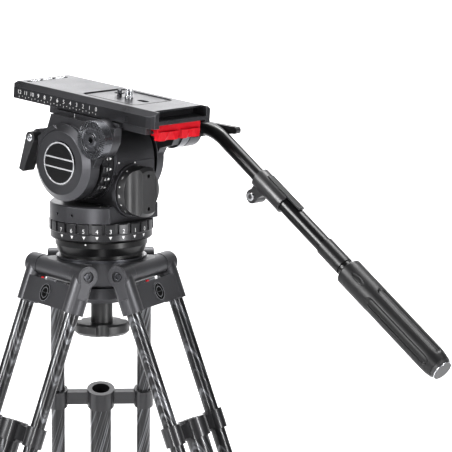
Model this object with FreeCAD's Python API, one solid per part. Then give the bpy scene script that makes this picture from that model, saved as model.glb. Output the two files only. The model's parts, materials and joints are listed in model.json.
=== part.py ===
import FreeCAD, Part
import math
import os

# Fluid video head with a pan bar, on a three-leg tripod with a 100 mm class bowl.
# Millimetres, +Z up, origin on the floor under the pan axis. +X points to the operator,
# -X to the lens, -Y to the side with the tilt dial. Head pieces are drawn with z = 0 at the
# bowl's rim and lifted by RIM_HEIGHT when they are written.

Vec = FreeCAD.Vector
ORIGIN = Vec(0, 0, 0)
X_AXIS, Y_AXIS, Z_AXIS = Vec(1, 0, 0), Vec(0, 1, 0), Vec(0, 0, 1)

# ---- fits ----
RUN = 0.05            # radial running fit of a shaft in its bore
GAP = 0.4             # air between faces that pass each other
BLIND = 1.0           # room past the end of a shaft in a blind bore

# ---- tripod legs ----
LEG_NAMES = ("rear", "left", "right")
REAR_LEG_ANGLE = 136.0
LEG_SPREAD = 20.2
HINGE_RADIUS = 52.0
HINGE_DROP = 13.3
BARREL_R = 11.5
HINGE_BOLT_R = 4.0
TUBE_SPACING = 98.0
UPPER_TUBE_R = 8.0
UPPER_TUBE_WALL = 1.3
SOCKET_R = 12.0
CHEEK_OUT = 9.8
SOCKET_DEPTH = 43.0
WEB_TOP = 14.5
WEB_THICKNESS = 9.0
PAD_R = 10.5
PAD_TIP = 20.0
BADGE_R, BADGE_RAISE = 11.0, 0.8
UPPER_TUBE_END = 474.0
STAGE_BLOCK_HEIGHT = 40.0
MIDDLE_TUBE_R = 12.5
MIDDLE_TUBE_TOP = 172.0
MIDDLE_TUBE_END = 566.0
CROSSHEAD_HEIGHT = 22.0
GUIDE_WALL = 3.2
COLLAR_HEIGHT = 34.0
COLLAR_WALL = 4.5
LOWER_TUBE_R = 10.0
LOWER_TUBE_WALL = 1.5
LOWER_TUBE_TOP = 190.0
FOOT_REACH = 660.0
FOOT_BALL_R = 9.0
FOOT_BALL_HEIGHT = 13.0
FOOT_R = 23.0
LEVER_LENGTH = 52.0
LEVER_PIN_R = 2.5
LEVER_WIDTH = 18.0

# ---- bowl and half ball ----
BALL_R = 46.0
BOWL_CLEAR = 0.3
BOWL_WALL = 2.0
RIM_PROUD = 1.5
RIM_DEPTH = 3.0
BOWL_HOLE_R = 22.0
WASHER_THICKNESS = 1.0
WASHER_HOLE_R = 12.0
CUP_FLOOR = 0.5
CUP_HOLE_R = 10.0
STUD_R = 6.0
STUD_LENGTH = 24.0
NECK_LOW_R, NECK_R, NECK_TOP = 47.5, 50.5, 13.0
NECK_STEP = 4.2
FLANGE_R, FLANGE_TOP = 51.0, 20.0
CORE_R, CORE_TOP = 40.0, 41.3
POST_R, POST_TOP = 20.0, 54.0
KNOB_NECK_R, KNOB_NECK_LENGTH = 12.0, 25.4
KNOB_R, KNOB_THICKNESS, KNOB_LOBES = 30.7, 13.0, 3
KNOB_TURN = -43.0

# ---- pan ----
PAN_RING_LOW, PAN_RING_TOP, PAN_RING_R = 22.3, 41.3, 57.6
ARROW_BAND_TOP, ARROW_BAND_R = 29.0, 56.4
DIAL_BLOCKS = 24
DIAL_STEP = 360.0 / DIAL_BLOCKS
PAN_DIAL_ZERO = -49.7
TILT_DIAL_FIRST = -8.0
NOTCH_WIDTH, NOTCH_DEPTH = 4.4, 2.2
HOUSING_R, HOUSING_TOP, HOUSING_FLAT = 57.0, 60.0, 46.0
EAR_Y, EAR_TOP = 41.0, 58.2
SET_SCREW_R, SET_SCREW_DEPTH, SET_SCREW_ANGLES = 1.6, 3.0, (-102.0, -79.0)
LEVEL_X, LEVEL_Y, LEVEL_R, LEVEL_HEIGHT = 36.0, -33.0, 6.8, 0.8
PAN_BRAKE_ANGLE = 140.0
PAN_BRAKE_HUB_R, PAN_BRAKE_LENGTH = 8.0, 40.0

# ---- tilt ----
TILT_Z = 107.5
REST_TILT = 4.55
BODY_LENS_X, BODY_OPERATOR_X = -38.0, 47.0
BODY_NEAR_Y, BODY_FAR_Y = -22.6, 35.9
BODY_R = 46.6
BOSS_WALL = 4.0
BACK_RING_R, BACK_RING_LENGTH = 45.4, 2.0
SHAFT_R = 14.0
SHAFT_IN_ARM = 8.0
BEARING_WALL, BEARING_LENGTH = 6.0, 10.0
DIAL_R, DIAL_NEAR_Y, DIAL_FAR_Y = 44.0, -39.0, -25.0
ARM_R = 42.5
ARM_BACK_Y, ARM_FACE_Y, ARM_BOSS_Y, ARM_BOSS_R = -44.0, -58.0, -63.4, 35.0
ARM_PLATE_Y, ARM_TOP, SHELF_Y = -54.5, 157.0, -48.0
FAR_ARM_BACK_Y, FAR_ARM_FACE_Y, FAR_ARM_R = 41.0, 53.2, 46.8
CAP_R, CAP_PROUD, CAP_DEPTH = 24.3, 1.0, 2.4
ROSETTE_X, ROSETTE_Z, ROSETTE_R, ROSETTE_LENGTH = 52.0, 142.5, 21.0, 12.0
ROSETTE_BORE_R, ROSETTE_TEETH, ROSETTE_HUB_R = 3.4, 48, 12.5
ROSETTE_SCREW_CIRCLE, ROSETTE_SCREW_R = 14.0, 1.9
SEAT_LENS_X, SEAT_OPERATOR_X, SEAT_HALF = -41.0, 107.0, 42.0
SEAT_BOTTOM, SEAT_TOP, SEAT_RISE = 154.8, 162.4, 3.4
BRAKE_X, BRAKE_Z, BRAKE_HUB_R, BRAKE_LENGTH = -49.0, 127.4, 6.6, 40.0
BRAKE_TIP, BRAKE_FACE_Y, BRAKE_BACK_Y, BRAKE_LEAN = 7.0, -62.5, -45.5, 17.0
PADDLE_X0, PADDLE_X1, PADDLE_HALF = 111.5, 119.0, 33.6
PADDLE_LOW, PADDLE_TOP, PADDLE_PIN_R = 148.5, 165.2, 2.0
PADDLE_PIN_X, PADDLE_PIN_Z = 108.4, 157.0
COUNTER_Z, COUNTER_R, COUNTER_FRONT = 75.7, 27.6, 73.5
COUNTER_BACK, COUNTER_SCALE_R, COUNTER_GRIP = 51.4, 29.5, 9.5

# ---- camera plate ----
PLATE_LENS_X, PLATE_OPERATOR_X, PLATE_HALF = -99.2, 120.0, 45.7
PLATE_BOTTOM, PLATE_BEVEL_Z, PLATE_TOP = 162.8, 175.5, 181.0
PLATE_BEVEL, PLATE_CORNER_X, PLATE_CORNER_Y = 7.0, 11.0, 3.0
RAIL_HALF, RAIL_FLARE = 35.6, 1.4
PANEL_X0, PANEL_X1, PANEL_HALF, PANEL_DEPTH, PANEL_CORNER = -4.0, 76.0, 30.0, 0.8, 7.0
STRIP_WIDTH, STRIP_DEPTH = 2.4, 2.0
POCKET_X, POCKET_Y, POCKET_WIDTH, POCKET_HALF, POCKET_DEPTH = -86.5, -3.0, 5.6, 31.0, 2.6
CAMERA_SCREW_X, CAMERA_SCREW_R, CAMERA_SCREW_RISE = 38.0, 4.76, 9.5
PIN_X, PIN_R, PIN_RISE = 23.5, 3.0, 6.0
END_RECESS, END_RECESS_HALF, END_BAR_TOP, SKIN_SETBACK = 20.0, 36.7, 170.4, 8.0

# ---- pan bar ----
BAR_PLANE_Y = 76.0
BAR_DROP = 34.6
BAR_BEND_X, BAR_BEND_Z, BAR_BEND_R = 98.0, 142.0, 60.0
BAR_R, BAR_TUBE_R, BAR_TUBE_WALL = 8.0, 9.3, 1.25
BAR_HUB_LENGTH = 17.0
BAR_COLLAR_START, BAR_COLLAR_LENGTH, BAR_COLLAR_R = 85.0, 45.0, 11.4
BAR_OVERLAP = 130.0
BAR_SLEEVE_START, BAR_SLEEVE_LENGTH, BAR_SLEEVE_R = 199.0, 34.0, 10.4
BAR_GRIP_START, BAR_GRIP_LENGTH, BAR_GRIP_R = 240.0, 159.0, 15.5
BAR_GRIP_END_R, BAR_GRIP_TAPER, BAR_CAP_LENGTH = 12.8, 20.0, 5.0
LUG_DROP, LUG_R, LUG_WIDTH = 20.2, 8.0, 15.0
LOCK_START, LOCK_END, LOCK_RISE, LOCK_HALF, LOCK_WIDTH = 12.0, 66.0, 10.85, 1.05, 8.0
WING_LENGTH, WING_R, WING_THICKNESS = 66.0, 9.0, 11.0

TUBE_HALF = TUBE_SPACING / 2
BARREL_HALF = TUBE_HALF - SOCKET_R - 0.5
MIDDLE_TUBE_BORE_R = LOWER_TUBE_R + RUN
BOWL_R = BALL_R + BOWL_CLEAR
BOWL_OUTER_R = BOWL_R + BOWL_WALL
RIM_R = BOWL_OUTER_R + RIM_PROUD
NECK_STEP_R = BALL_R - 0.6
CUP_R = BOWL_OUTER_R - 10.3
WASHER_R = BOWL_OUTER_R + RUN * 2
CUP_SPHERE_R = WASHER_R + WASHER_THICKNESS + RUN * 2
CUP_TOP = -math.sqrt(CUP_SPHERE_R ** 2 - CUP_R ** 2) - 1.2
CUP_BOTTOM = -CUP_SPHERE_R - CUP_FLOOR
KNOB_NECK_END = CUP_BOTTOM - GAP - KNOB_NECK_LENGTH
KNOB_END = KNOB_NECK_END - KNOB_THICKNESS
STUD_END = CUP_BOTTOM - STUD_LENGTH
BOSS_R = SHAFT_R + BOSS_WALL
BEARING_R = SHAFT_R + BEARING_WALL
RIM_HEIGHT = HINGE_DROP + FOOT_REACH * math.cos(math.radians(LEG_SPREAD)) + FOOT_BALL_HEIGHT


# ---- shapes ----
def rod(a, b, r):
    """Cylinder of radius r from point a to point b."""
    a, b = Vec(*a), Vec(*b)
    return Part.makeCylinder(r, (b - a).Length, a, b - a)


def tube(a, b, outer, inner):
    return rod(a, b, outer).cut(rod(a, b, inner))


def cone(a, b, ra, rb):
    a, b = Vec(*a), Vec(*b)
    return Part.makeCone(ra, rb, (b - a).Length, a, b - a)


def box(x0, x1, y0, y1, z0, z1):
    return Part.makeBox(x1 - x0, y1 - y0, z1 - z0, Vec(x0, y0, z0))


def turned(profile):
    """Solid turned about Z from (radius, z) points."""
    points = [Vec(r, 0, z) for r, z in profile]
    face = Part.Face(Part.makePolygon(points + [points[0]]))
    return face.revolve(ORIGIN, Z_AXIS, 360)


def slab(points, y0, y1):
    """Outline of (x, z) points carried from y0 to y1."""
    corners = [Vec(x, y0, z) for x, z in points]
    face = Part.Face(Part.makePolygon(corners + [corners[0]]))
    return face.extrude(Vec(0, y1 - y0, 0))


def plan(points, z0, z1):
    """Outline of (x, y) points carried from z0 to z1."""
    corners = [Vec(x, y, z0) for x, y in points]
    face = Part.Face(Part.makePolygon(corners + [corners[0]]))
    return face.extrude(Vec(0, 0, z1 - z0))


def joined(first, *rest):
    return first.fuse(list(rest)).removeSplitter()


def cut(shape, *tools):
    return shape.cut(list(tools))


def spun(shape, angle, centre=ORIGIN, axis=Z_AXIS):
    turned_copy = shape.copy()
    turned_copy.rotate(centre, axis, angle)
    return turned_copy


def moved(shape, x, y, z):
    placed = shape.copy()
    placed.translate(Vec(x, y, z))
    return placed


def repeated(shape, count, first=0.0):
    return [spun(shape, first + 360.0 * k / count) for k in range(count)]


def near_side(shape, x, z):
    """Piece drawn along +Z, laid along -Y about the axis at (x, z)."""
    return moved(spun(shape, 90, ORIGIN, X_AXIS), x, 0, z)


def far_side(shape, x, z):
    return moved(spun(shape, -90, ORIGIN, X_AXIS), x, 0, z)


def operator_side(shape, y, z):
    return moved(spun(shape, 90, ORIGIN, Y_AXIS), 0, y, z)


def slotted(x0, x1, y, r, z0, z1):
    """Upright slot with round ends, its end centres at x0 and x1."""
    return joined(rod((x0, y, z0), (x0, y, z1), r), rod((x1, y, z0), (x1, y, z1), r),
                  box(x0, x1, y - r, y + r, z0, z1))


def write(name, shape, lift=RIM_HEIGHT):
    placed = moved(shape, 0, 0, lift)
    placed.exportStep("parts/" + name + ".step")
    solids = placed.Solids
    box_ = placed.BoundBox
    print("%-22s solids %d valid %s  x %.1f..%.1f y %.1f..%.1f z %.1f..%.1f" % (
        name, len(solids), placed.isValid(), box_.XMin, box_.XMax, box_.YMin, box_.YMax,
        box_.ZMin, box_.ZMax))


def tilted(shape):
    return spun(shape, REST_TILT, Vec(0, 0, TILT_Z), Y_AXIS)


# ---- crown and bowl ----
def leg_angle(index):
    return REAR_LEG_ANGLE + 120.0 * index


def crown():
    bowl = Part.makeSphere(BOWL_OUTER_R, ORIGIN, Z_AXIS, -90, 0, 360)
    arms = []
    for index in range(len(LEG_NAMES)):
        barrel = rod((HINGE_RADIUS, -BARREL_HALF, -HINGE_DROP),
                     (HINGE_RADIUS, BARREL_HALF, -HINGE_DROP), BARREL_R)
        arm = box(BOWL_R - 16, HINGE_RADIUS, -BARREL_HALF + 1.5, BARREL_HALF - 1.5,
                  -HINGE_DROP - BARREL_R, -HINGE_DROP + BARREL_R - 1)
        arms.append(spun(joined(barrel, arm), leg_angle(index)))
    casting = joined(bowl, *arms)
    for index in range(len(LEG_NAMES)):
        bore = rod((HINGE_RADIUS, -BARREL_HALF, -HINGE_DROP),
                   (HINGE_RADIUS, BARREL_HALF, -HINGE_DROP), HINGE_BOLT_R)
        casting = casting.cut(spun(bore, leg_angle(index)))
    seat = tube((0, 0, -RIM_DEPTH), (0, 0, BLIND), RIM_R + 10, BOWL_R - 2)
    below_arms = turned([(0, -70), (80, -70), (80, -HINGE_DROP - BARREL_R - 1), (40, -36), (0, -36)])
    keep_out = below_arms.cut(Part.makeSphere(BOWL_OUTER_R))
    return cut(casting, Part.makeSphere(BOWL_R), seat, keep_out,
               rod((0, 0, -60), (0, 0, -20), BOWL_HOLE_R))


def rim_ring():
    ring = tube((0, 0, -RIM_DEPTH), (0, 0, 0), RIM_R, BOWL_R - 2)
    return ring.cut(Part.makeSphere(BOWL_R))


def hinge_bolts():
    bolts = []
    half = TUBE_HALF + CHEEK_OUT - 1.5
    for index in range(len(LEG_NAMES)):
        bolt = rod((HINGE_RADIUS, -half, -HINGE_DROP), (HINGE_RADIUS, half, -HINGE_DROP),
                   HINGE_BOLT_R)
        bolts.append(spun(bolt, leg_angle(index)))
    return Part.makeCompound(bolts)


def levelling_washer():
    shell = Part.makeSphere(WASHER_R + WASHER_THICKNESS).cut(Part.makeSphere(WASHER_R))
    keep = rod((0, 0, -80), (0, 0, -20), CUP_R - 4)
    return shell.common(keep).cut(rod((0, 0, -80), (0, 0, -20), WASHER_HOLE_R))


def tie_down_cup():
    cup = turned([(0, CUP_BOTTOM), (CUP_R - 5, CUP_BOTTOM), (CUP_R, CUP_BOTTOM + 5),
                  (CUP_R, CUP_TOP), (0, CUP_TOP)])
    return cut(cup, Part.makeSphere(CUP_SPHERE_R), rod((0, 0, -80), (0, 0, 0), CUP_HOLE_R))


def tie_down_knob():
    top = CUP_BOTTOM - GAP
    hub = turned([(0, top), (KNOB_NECK_R, top), (KNOB_NECK_R, KNOB_NECK_END - 0.5),
                  (0, KNOB_NECK_END - 0.5)])
    plate = turned([(0, KNOB_NECK_END), (KNOB_R - 2, KNOB_NECK_END), (KNOB_R, KNOB_NECK_END - 2),
                    (KNOB_R, KNOB_END + 3), (KNOB_R - 3, KNOB_END), (0, KNOB_END)])
    scallop = rod((KNOB_R + 3.5, 0, KNOB_END - 1), (KNOB_R + 3.5, 0, KNOB_NECK_END + 1), 8.5)
    plate = cut(plate, *repeated(scallop, KNOB_LOBES, KNOB_TURN))
    return cut(joined(hub, plate), rod((0, 0, STUD_END - BLIND), (0, 0, 0), STUD_R + RUN))


def ball_base():
    half = Part.makeSphere(BALL_R, ORIGIN, Z_AXIS, -90, 0, 360)
    half = half.cut(rod((0, 0, -28), (0, 0, 0), 30))
    upper = turned([(0, 0), (NECK_STEP_R, 0), (NECK_STEP_R, NECK_STEP), (NECK_LOW_R, NECK_STEP),
                    (NECK_R, NECK_TOP), (FLANGE_R, NECK_TOP), (FLANGE_R, FLANGE_TOP - 1),
                    (FLANGE_R - 1, FLANGE_TOP), (CORE_R, FLANGE_TOP), (CORE_R, CORE_TOP),
                    (POST_R, CORE_TOP), (POST_R, POST_TOP), (0, POST_TOP)])
    flange = turned([(CORE_R, FLANGE_TOP), (ARROW_BAND_R - 2, FLANGE_TOP),
                     (ARROW_BAND_R, PAN_RING_LOW - GAP), (CORE_R, PAN_RING_LOW - GAP)])
    stud = rod((0, 0, STUD_END), (0, 0, -25), STUD_R)
    return joined(half, upper, flange, stud)


# ---- pan stage ----
def notched(ring, r, z0, z1, first):
    notch = box(r - NOTCH_DEPTH, r + 5, -NOTCH_WIDTH / 2, NOTCH_WIDTH / 2, z0, z1)
    return cut(ring, *repeated(notch, DIAL_BLOCKS, first + DIAL_STEP / 2))


def pan_drag_ring():
    bore = CORE_R + RUN
    ring = turned([(bore, PAN_RING_LOW), (ARROW_BAND_R, PAN_RING_LOW),
                   (ARROW_BAND_R, ARROW_BAND_TOP), (PAN_RING_R, ARROW_BAND_TOP + 1),
                   (PAN_RING_R, PAN_RING_TOP - 1), (PAN_RING_R - 1, PAN_RING_TOP),
                   (bore, PAN_RING_TOP)])
    return notched(ring, PAN_RING_R, ARROW_BAND_TOP + 1.5, PAN_RING_TOP + 1, PAN_DIAL_ZERO)


def pan_housing():
    low = PAN_RING_TOP + GAP
    body = turned([(0, low), (HOUSING_R, low), (HOUSING_R, HOUSING_TOP - 1.5),
                   (HOUSING_R - 1.5, HOUSING_TOP), (0, HOUSING_TOP)])
    ear = box(HOUSING_FLAT - 18, HOUSING_FLAT + 1, EAR_Y - 18, EAR_Y, low, EAR_TOP)
    flat = box(HOUSING_FLAT, HOUSING_R + 5, -80, 80, low - 1, HOUSING_TOP + 1)
    bore = rod((0, 0, low - 1), (0, 0, POST_TOP + BLIND), POST_R + RUN)
    screw = rod((HOUSING_R - SET_SCREW_DEPTH, 0, 50), (HOUSING_R + 2, 0, 50), SET_SCREW_R)
    screws = [spun(screw, a) for a in SET_SCREW_ANGLES]
    level = rod((LEVEL_X, LEVEL_Y, HOUSING_TOP - 4), (LEVEL_X, LEVEL_Y, HOUSING_TOP + 1), LEVEL_R)
    boss = spun(rod((HOUSING_R - 6, 0, 50), (HOUSING_R + 2, 0, 50), PAN_BRAKE_HUB_R),
                PAN_BRAKE_ANGLE)
    return cut(joined(cut(body, flat), boss, ear), bore, level, brake_pin_bore(), *screws)


def brake_pin_bore():
    return spun(rod((HOUSING_R - 8, 0, 50), (HOUSING_R + 12, 0, 50), 3 + RUN), PAN_BRAKE_ANGLE)


def pan_brake_lever():
    out = HOUSING_R + 2 + GAP
    hub = rod((out, 0, 50), (out + 8, 0, 50), PAN_BRAKE_HUB_R)
    pin = rod((HOUSING_R - 7, 0, 50), (out + 1, 0, 50), 3)
    arm = slab([(out + 1, 50), (out + 8, 50), (out + 12, 50 - PAN_BRAKE_LENGTH),
                (out + 6, 50 - PAN_BRAKE_LENGTH)], -5.5, 5.5)
    return spun(joined(hub, pin, arm), PAN_BRAKE_ANGLE)


def bubble_level():
    case = turned([(0, HOUSING_TOP - 4), (LEVEL_R, HOUSING_TOP - 4), (LEVEL_R, HOUSING_TOP),
                   (LEVEL_R - 0.8, HOUSING_TOP + LEVEL_HEIGHT), (0, HOUSING_TOP + LEVEL_HEIGHT)])
    return moved(case, LEVEL_X, LEVEL_Y, 0)


def main_body():
    block = slab([(BODY_LENS_X, HOUSING_TOP), (BODY_OPERATOR_X, HOUSING_TOP),
                  (BODY_OPERATOR_X, TILT_Z), (0, TILT_Z), (BODY_LENS_X, TILT_Z)],
                 BODY_NEAR_Y, BODY_FAR_Y)
    drum = near_side(rod((0, 0, -BODY_FAR_Y), (0, 0, -BODY_NEAR_Y), BODY_R), 0, TILT_Z)
    ring = near_side(rod((0, 0, -BODY_NEAR_Y - 1), (0, 0, -BODY_NEAR_Y + BACK_RING_LENGTH),
                         BACK_RING_R), 0, TILT_Z)
    near_boss = near_side(rod((0, 0, -BODY_NEAR_Y), (0, 0, -ARM_BACK_Y - GAP), BOSS_R),
                          0, TILT_Z)
    far_boss = far_side(rod((0, 0, BODY_FAR_Y), (0, 0, FAR_ARM_BACK_Y - GAP), BOSS_R), 0, TILT_Z)
    scale = operator_side(rod((0, 0, BODY_OPERATOR_X - 1), (0, 0, COUNTER_BACK - GAP),
                              COUNTER_SCALE_R), 0, COUNTER_Z)
    solid = joined(block, drum, ring, near_boss, far_boss, scale)
    bore = near_side(rod((0, 0, -60), (0, 0, 60), SHAFT_R + RUN), 0, TILT_Z)
    pockets = [near_side(rod((0, 0, a), (0, 0, a + BEARING_LENGTH), BEARING_R), 0, TILT_Z)
               for a in bearing_starts()]
    knob_bore = rod((BODY_OPERATOR_X - 12, 0, COUNTER_Z), (COUNTER_BACK + 1, 0, COUNTER_Z), 5 + RUN)
    return cut(solid, bore, knob_bore, *pockets)


def bearing_starts():
    return (-BODY_NEAR_Y - 2 - BEARING_LENGTH, -BODY_FAR_Y + 2)


def tilt_bearings():
    rings = [near_side(tube((0, 0, a), (0, 0, a + BEARING_LENGTH), BEARING_R, SHAFT_R + RUN),
                       0, TILT_Z) for a in bearing_starts()]
    return Part.makeCompound(rings)


def counterbalance_knob():
    knob = turned([(0, COUNTER_BACK), (COUNTER_R, COUNTER_BACK), (COUNTER_R, COUNTER_FRONT - 4),
                   (COUNTER_R - 4, COUNTER_FRONT), (0, COUNTER_FRONT)])
    knob = operator_side(knob, 0, COUNTER_Z)
    scoops = [rod((COUNTER_FRONT + 1, side * (COUNTER_GRIP + 13), COUNTER_Z - 40),
                  (COUNTER_FRONT + 1, side * (COUNTER_GRIP + 13), COUNTER_Z + 40), 13)
              for side in (-1, 1)]
    holes = [rod((COUNTER_FRONT - 5, 0, COUNTER_Z + dz), (COUNTER_FRONT + 1, 0, COUNTER_Z + dz), 2.2)
             for dz in (-18, 18)]
    pin = rod((BODY_OPERATOR_X - 11, 0, COUNTER_Z), (COUNTER_BACK + 1, 0, COUNTER_Z), 5)
    return joined(cut(knob, *(scoops + holes)), pin)


def tilt_drag_dial():
    near, far = -DIAL_NEAR_Y, -DIAL_FAR_Y
    ring = turned([(BOSS_R + RUN, far), (DIAL_R, far), (DIAL_R, near - 1), (DIAL_R - 1, near),
                   (BOSS_R + RUN, near)])
    return near_side(notched(ring, DIAL_R, far + 6, near + 1, TILT_DIAL_FIRST), 0, TILT_Z)


# ---- tilting arms, seat and plate, drawn level ----
def arm_outline():
    return [(-26, ARM_TOP), (-35, 128), (-36, 112), (0, 96), (36, 96), (42, 108), (49, 122.3),
            (ROSETTE_X + 14, 128), (ROSETTE_X + 20, 140), (ROSETTE_X + 20.5, ARM_TOP)]


def tilt_arm_near():
    disc = near_side(rod((0, 0, -ARM_BACK_Y), (0, 0, -ARM_FACE_Y), ARM_R), 0, TILT_Z)
    boss = near_side(cone((0, 0, -ARM_FACE_Y), (0, 0, -ARM_BOSS_Y), ARM_R, ARM_BOSS_R), 0, TILT_Z)
    upper = slab(arm_outline(), ARM_PLATE_Y, ARM_BACK_Y)
    brow = slab([(-15, 147), (13, 135), (20, 118), (0, 100), (-36, 112), (-37, 131)],
                ARM_BOSS_Y + 1.5, ARM_BACK_Y)
    mount = rod((ROSETTE_X, ARM_BACK_Y - 2.5, ROSETTE_Z), (ROSETTE_X, ARM_FACE_Y, ROSETTE_Z), ROSETTE_R)
    ear = rod((BRAKE_X, ARM_BACK_Y, BRAKE_Z), (BRAKE_X, BRAKE_FACE_Y + 12, BRAKE_Z), BRAKE_HUB_R + 2)
    ear_web = slab([(BRAKE_X, BRAKE_Z - 8), (BRAKE_X, BRAKE_Z + 8), (-30, BRAKE_Z + 14),
                    (-30, BRAKE_Z - 12)], BRAKE_FACE_Y + 12, ARM_BACK_Y)
    solid = joined(disc, boss, upper, brow, mount, ear, ear_web)
    recess = near_side(rod((0, 0, -ARM_BOSS_Y - CAP_DEPTH), (0, 0, 80), CAP_R + 0.2), 0, TILT_Z)
    shaft = near_side(rod((0, 0, -ARM_BACK_Y - 5), (0, 0, -ARM_BACK_Y + SHAFT_IN_ARM), SHAFT_R),
                      0, TILT_Z)
    pin = rod((BRAKE_X, ARM_BACK_Y + 1, BRAKE_Z), (BRAKE_X, BRAKE_FACE_Y, BRAKE_Z), 2.5 + RUN)
    rosette_room = rod((ROSETTE_X, ARM_FACE_Y, ROSETTE_Z), (ROSETTE_X, ARM_FACE_Y - 20, ROSETTE_Z),
                       ROSETTE_R + RUN)
    return cut(solid, recess, shaft, pin, rosette_room)


def tilt_arm_far():
    disc = far_side(rod((0, 0, FAR_ARM_BACK_Y), (0, 0, FAR_ARM_FACE_Y - 2), FAR_ARM_R), 0, TILT_Z)
    rim = far_side(cone((0, 0, FAR_ARM_FACE_Y - 2), (0, 0, FAR_ARM_FACE_Y), FAR_ARM_R, FAR_ARM_R - 2),
                   0, TILT_Z)
    mount = rod((ROSETTE_X, SEAT_HALF, ROSETTE_Z), (ROSETTE_X, FAR_ARM_FACE_Y, ROSETTE_Z), 14)
    upper = slab(arm_outline(), SEAT_HALF, FAR_ARM_FACE_Y)
    shaft = far_side(rod((0, 0, 0), (0, 0, FAR_ARM_BACK_Y + SHAFT_IN_ARM), SHAFT_R), 0, TILT_Z)
    return cut(joined(disc, rim, upper, mount), shaft)


def tilt_shaft():
    return near_side(rod((0, 0, -FAR_ARM_BACK_Y - SHAFT_IN_ARM), (0, 0, -ARM_BACK_Y + SHAFT_IN_ARM),
                         SHAFT_R), 0, TILT_Z)


def cheek_cap():
    low = -ARM_BOSS_Y - CAP_DEPTH
    high = -ARM_BOSS_Y + CAP_PROUD
    cap = turned([(0, low), (CAP_R, low), (CAP_R, high - 0.8), (CAP_R - 0.8, high), (0, high)])
    return near_side(cap, 0, TILT_Z)


def rosette():
    """Toothed disc drawn along +Z from its foot at z = 0."""
    face = ROSETTE_LENGTH
    disc = turned([(ROSETTE_BORE_R, 0), (ROSETTE_R, 0), (ROSETTE_R, face - 1), (ROSETTE_R - 0.6, face),
                   (ROSETTE_HUB_R + 1, face), (ROSETTE_HUB_R, face - 1.2), (7.5, face - 1.2),
                   (6.5, face), (ROSETTE_BORE_R, face)])
    screws = [rod((ROSETTE_SCREW_CIRCLE - 3.5, 0, face - 4), (ROSETTE_SCREW_CIRCLE - 3.5, 0, face + 1),
                  ROSETTE_SCREW_R)]
    groove = slab([(ROSETTE_HUB_R + 1, face - 1.1), (ROSETTE_R + 2, face - 1.1),
                   (ROSETTE_R + 2, face + 1), (ROSETTE_HUB_R + 1, face + 1)], -0.5, 0.5)
    return cut(disc, *(repeated(screws[0], 4, 45.0) + repeated(groove, ROSETTE_TEETH)))


def rosette_screw():
    r = ROSETTE_SCREW_CIRCLE - 3.5
    head = rod((r, 0, ROSETTE_LENGTH - 4), (r, 0, ROSETTE_LENGTH - 1.6), ROSETTE_SCREW_R)
    return repeated(head, 4, 45.0)


def both_rosettes(pieces):
    found = []
    for piece in pieces:
        found.append(moved(near_side(piece, ROSETTE_X, ROSETTE_Z), 0, ARM_FACE_Y, 0))
        found.append(moved(far_side(piece, ROSETTE_X, ROSETTE_Z), 0, FAR_ARM_FACE_Y, 0))
    return Part.makeCompound(found)


def plate_seat():
    deck = box(SEAT_LENS_X, SEAT_OPERATOR_X, -SEAT_HALF, SEAT_HALF, SEAT_BOTTOM, SEAT_TOP)
    near_shelf = box(-26, ROSETTE_X + 20, SHELF_Y, -SEAT_HALF + 1, ARM_TOP, SEAT_TOP - 1)
    far_shelf = box(-26, ROSETTE_X + 20, SEAT_HALF - 1, -SHELF_Y, ARM_TOP, SEAT_TOP - 1)
    lug_end, lug_low, lug_high = PADDLE_PIN_X + PADDLE_PIN_R + 0.2, PADDLE_PIN_Z - 2.2, SEAT_TOP - 0.5
    lug_outline = [(SEAT_OPERATOR_X - 4, lug_low), (lug_end, lug_low), (lug_end, PADDLE_PIN_Z + 1.5),
                   (lug_end - 0.9, lug_high), (SEAT_OPERATOR_X - 4, lug_high)]
    lugs = [slab(lug_outline, y, y + 6) for y in (-PADDLE_HALF + 8, PADDLE_HALF - 14)]
    pin = rod((PADDLE_PIN_X, -PADDLE_HALF, PADDLE_PIN_Z), (PADDLE_PIN_X, PADDLE_HALF, PADDLE_PIN_Z),
              PADDLE_PIN_R)
    room = box(SEAT_OPERATOR_X - 4.4, SEAT_OPERATOR_X + 1, -PADDLE_HALF - 1, PADDLE_HALF + 1,
               SEAT_BOTTOM - 1, SEAT_TOP - 0.5)
    mount_room = rod((ROSETTE_X, -SEAT_HALF, ROSETTE_Z), (ROSETTE_X, ARM_FACE_Y - 1, ROSETTE_Z), ROSETTE_R)
    bed = cut(joined(deck, rail(SEAT_LENS_X, SEAT_OPERATOR_X, 0)), room)
    return joined(bed, cut(near_shelf, mount_room), far_shelf, *(lugs + [pin]))


def rail(x0, x1, clearance):
    """Dovetail rail on the seat; with a clearance it is the plate's channel over it."""
    top, low = SEAT_TOP + SEAT_RISE + clearance, SEAT_TOP - 1
    head, foot = RAIL_HALF + clearance, RAIL_HALF - RAIL_FLARE + clearance
    corners = [Vec(x0, -foot, low), Vec(x0, foot, low), Vec(x0, head, top), Vec(x0, -head, top)]
    face = Part.Face(Part.makePolygon(corners + [corners[0]]))
    return face.extrude(Vec(x1 - x0, 0, 0))


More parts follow.
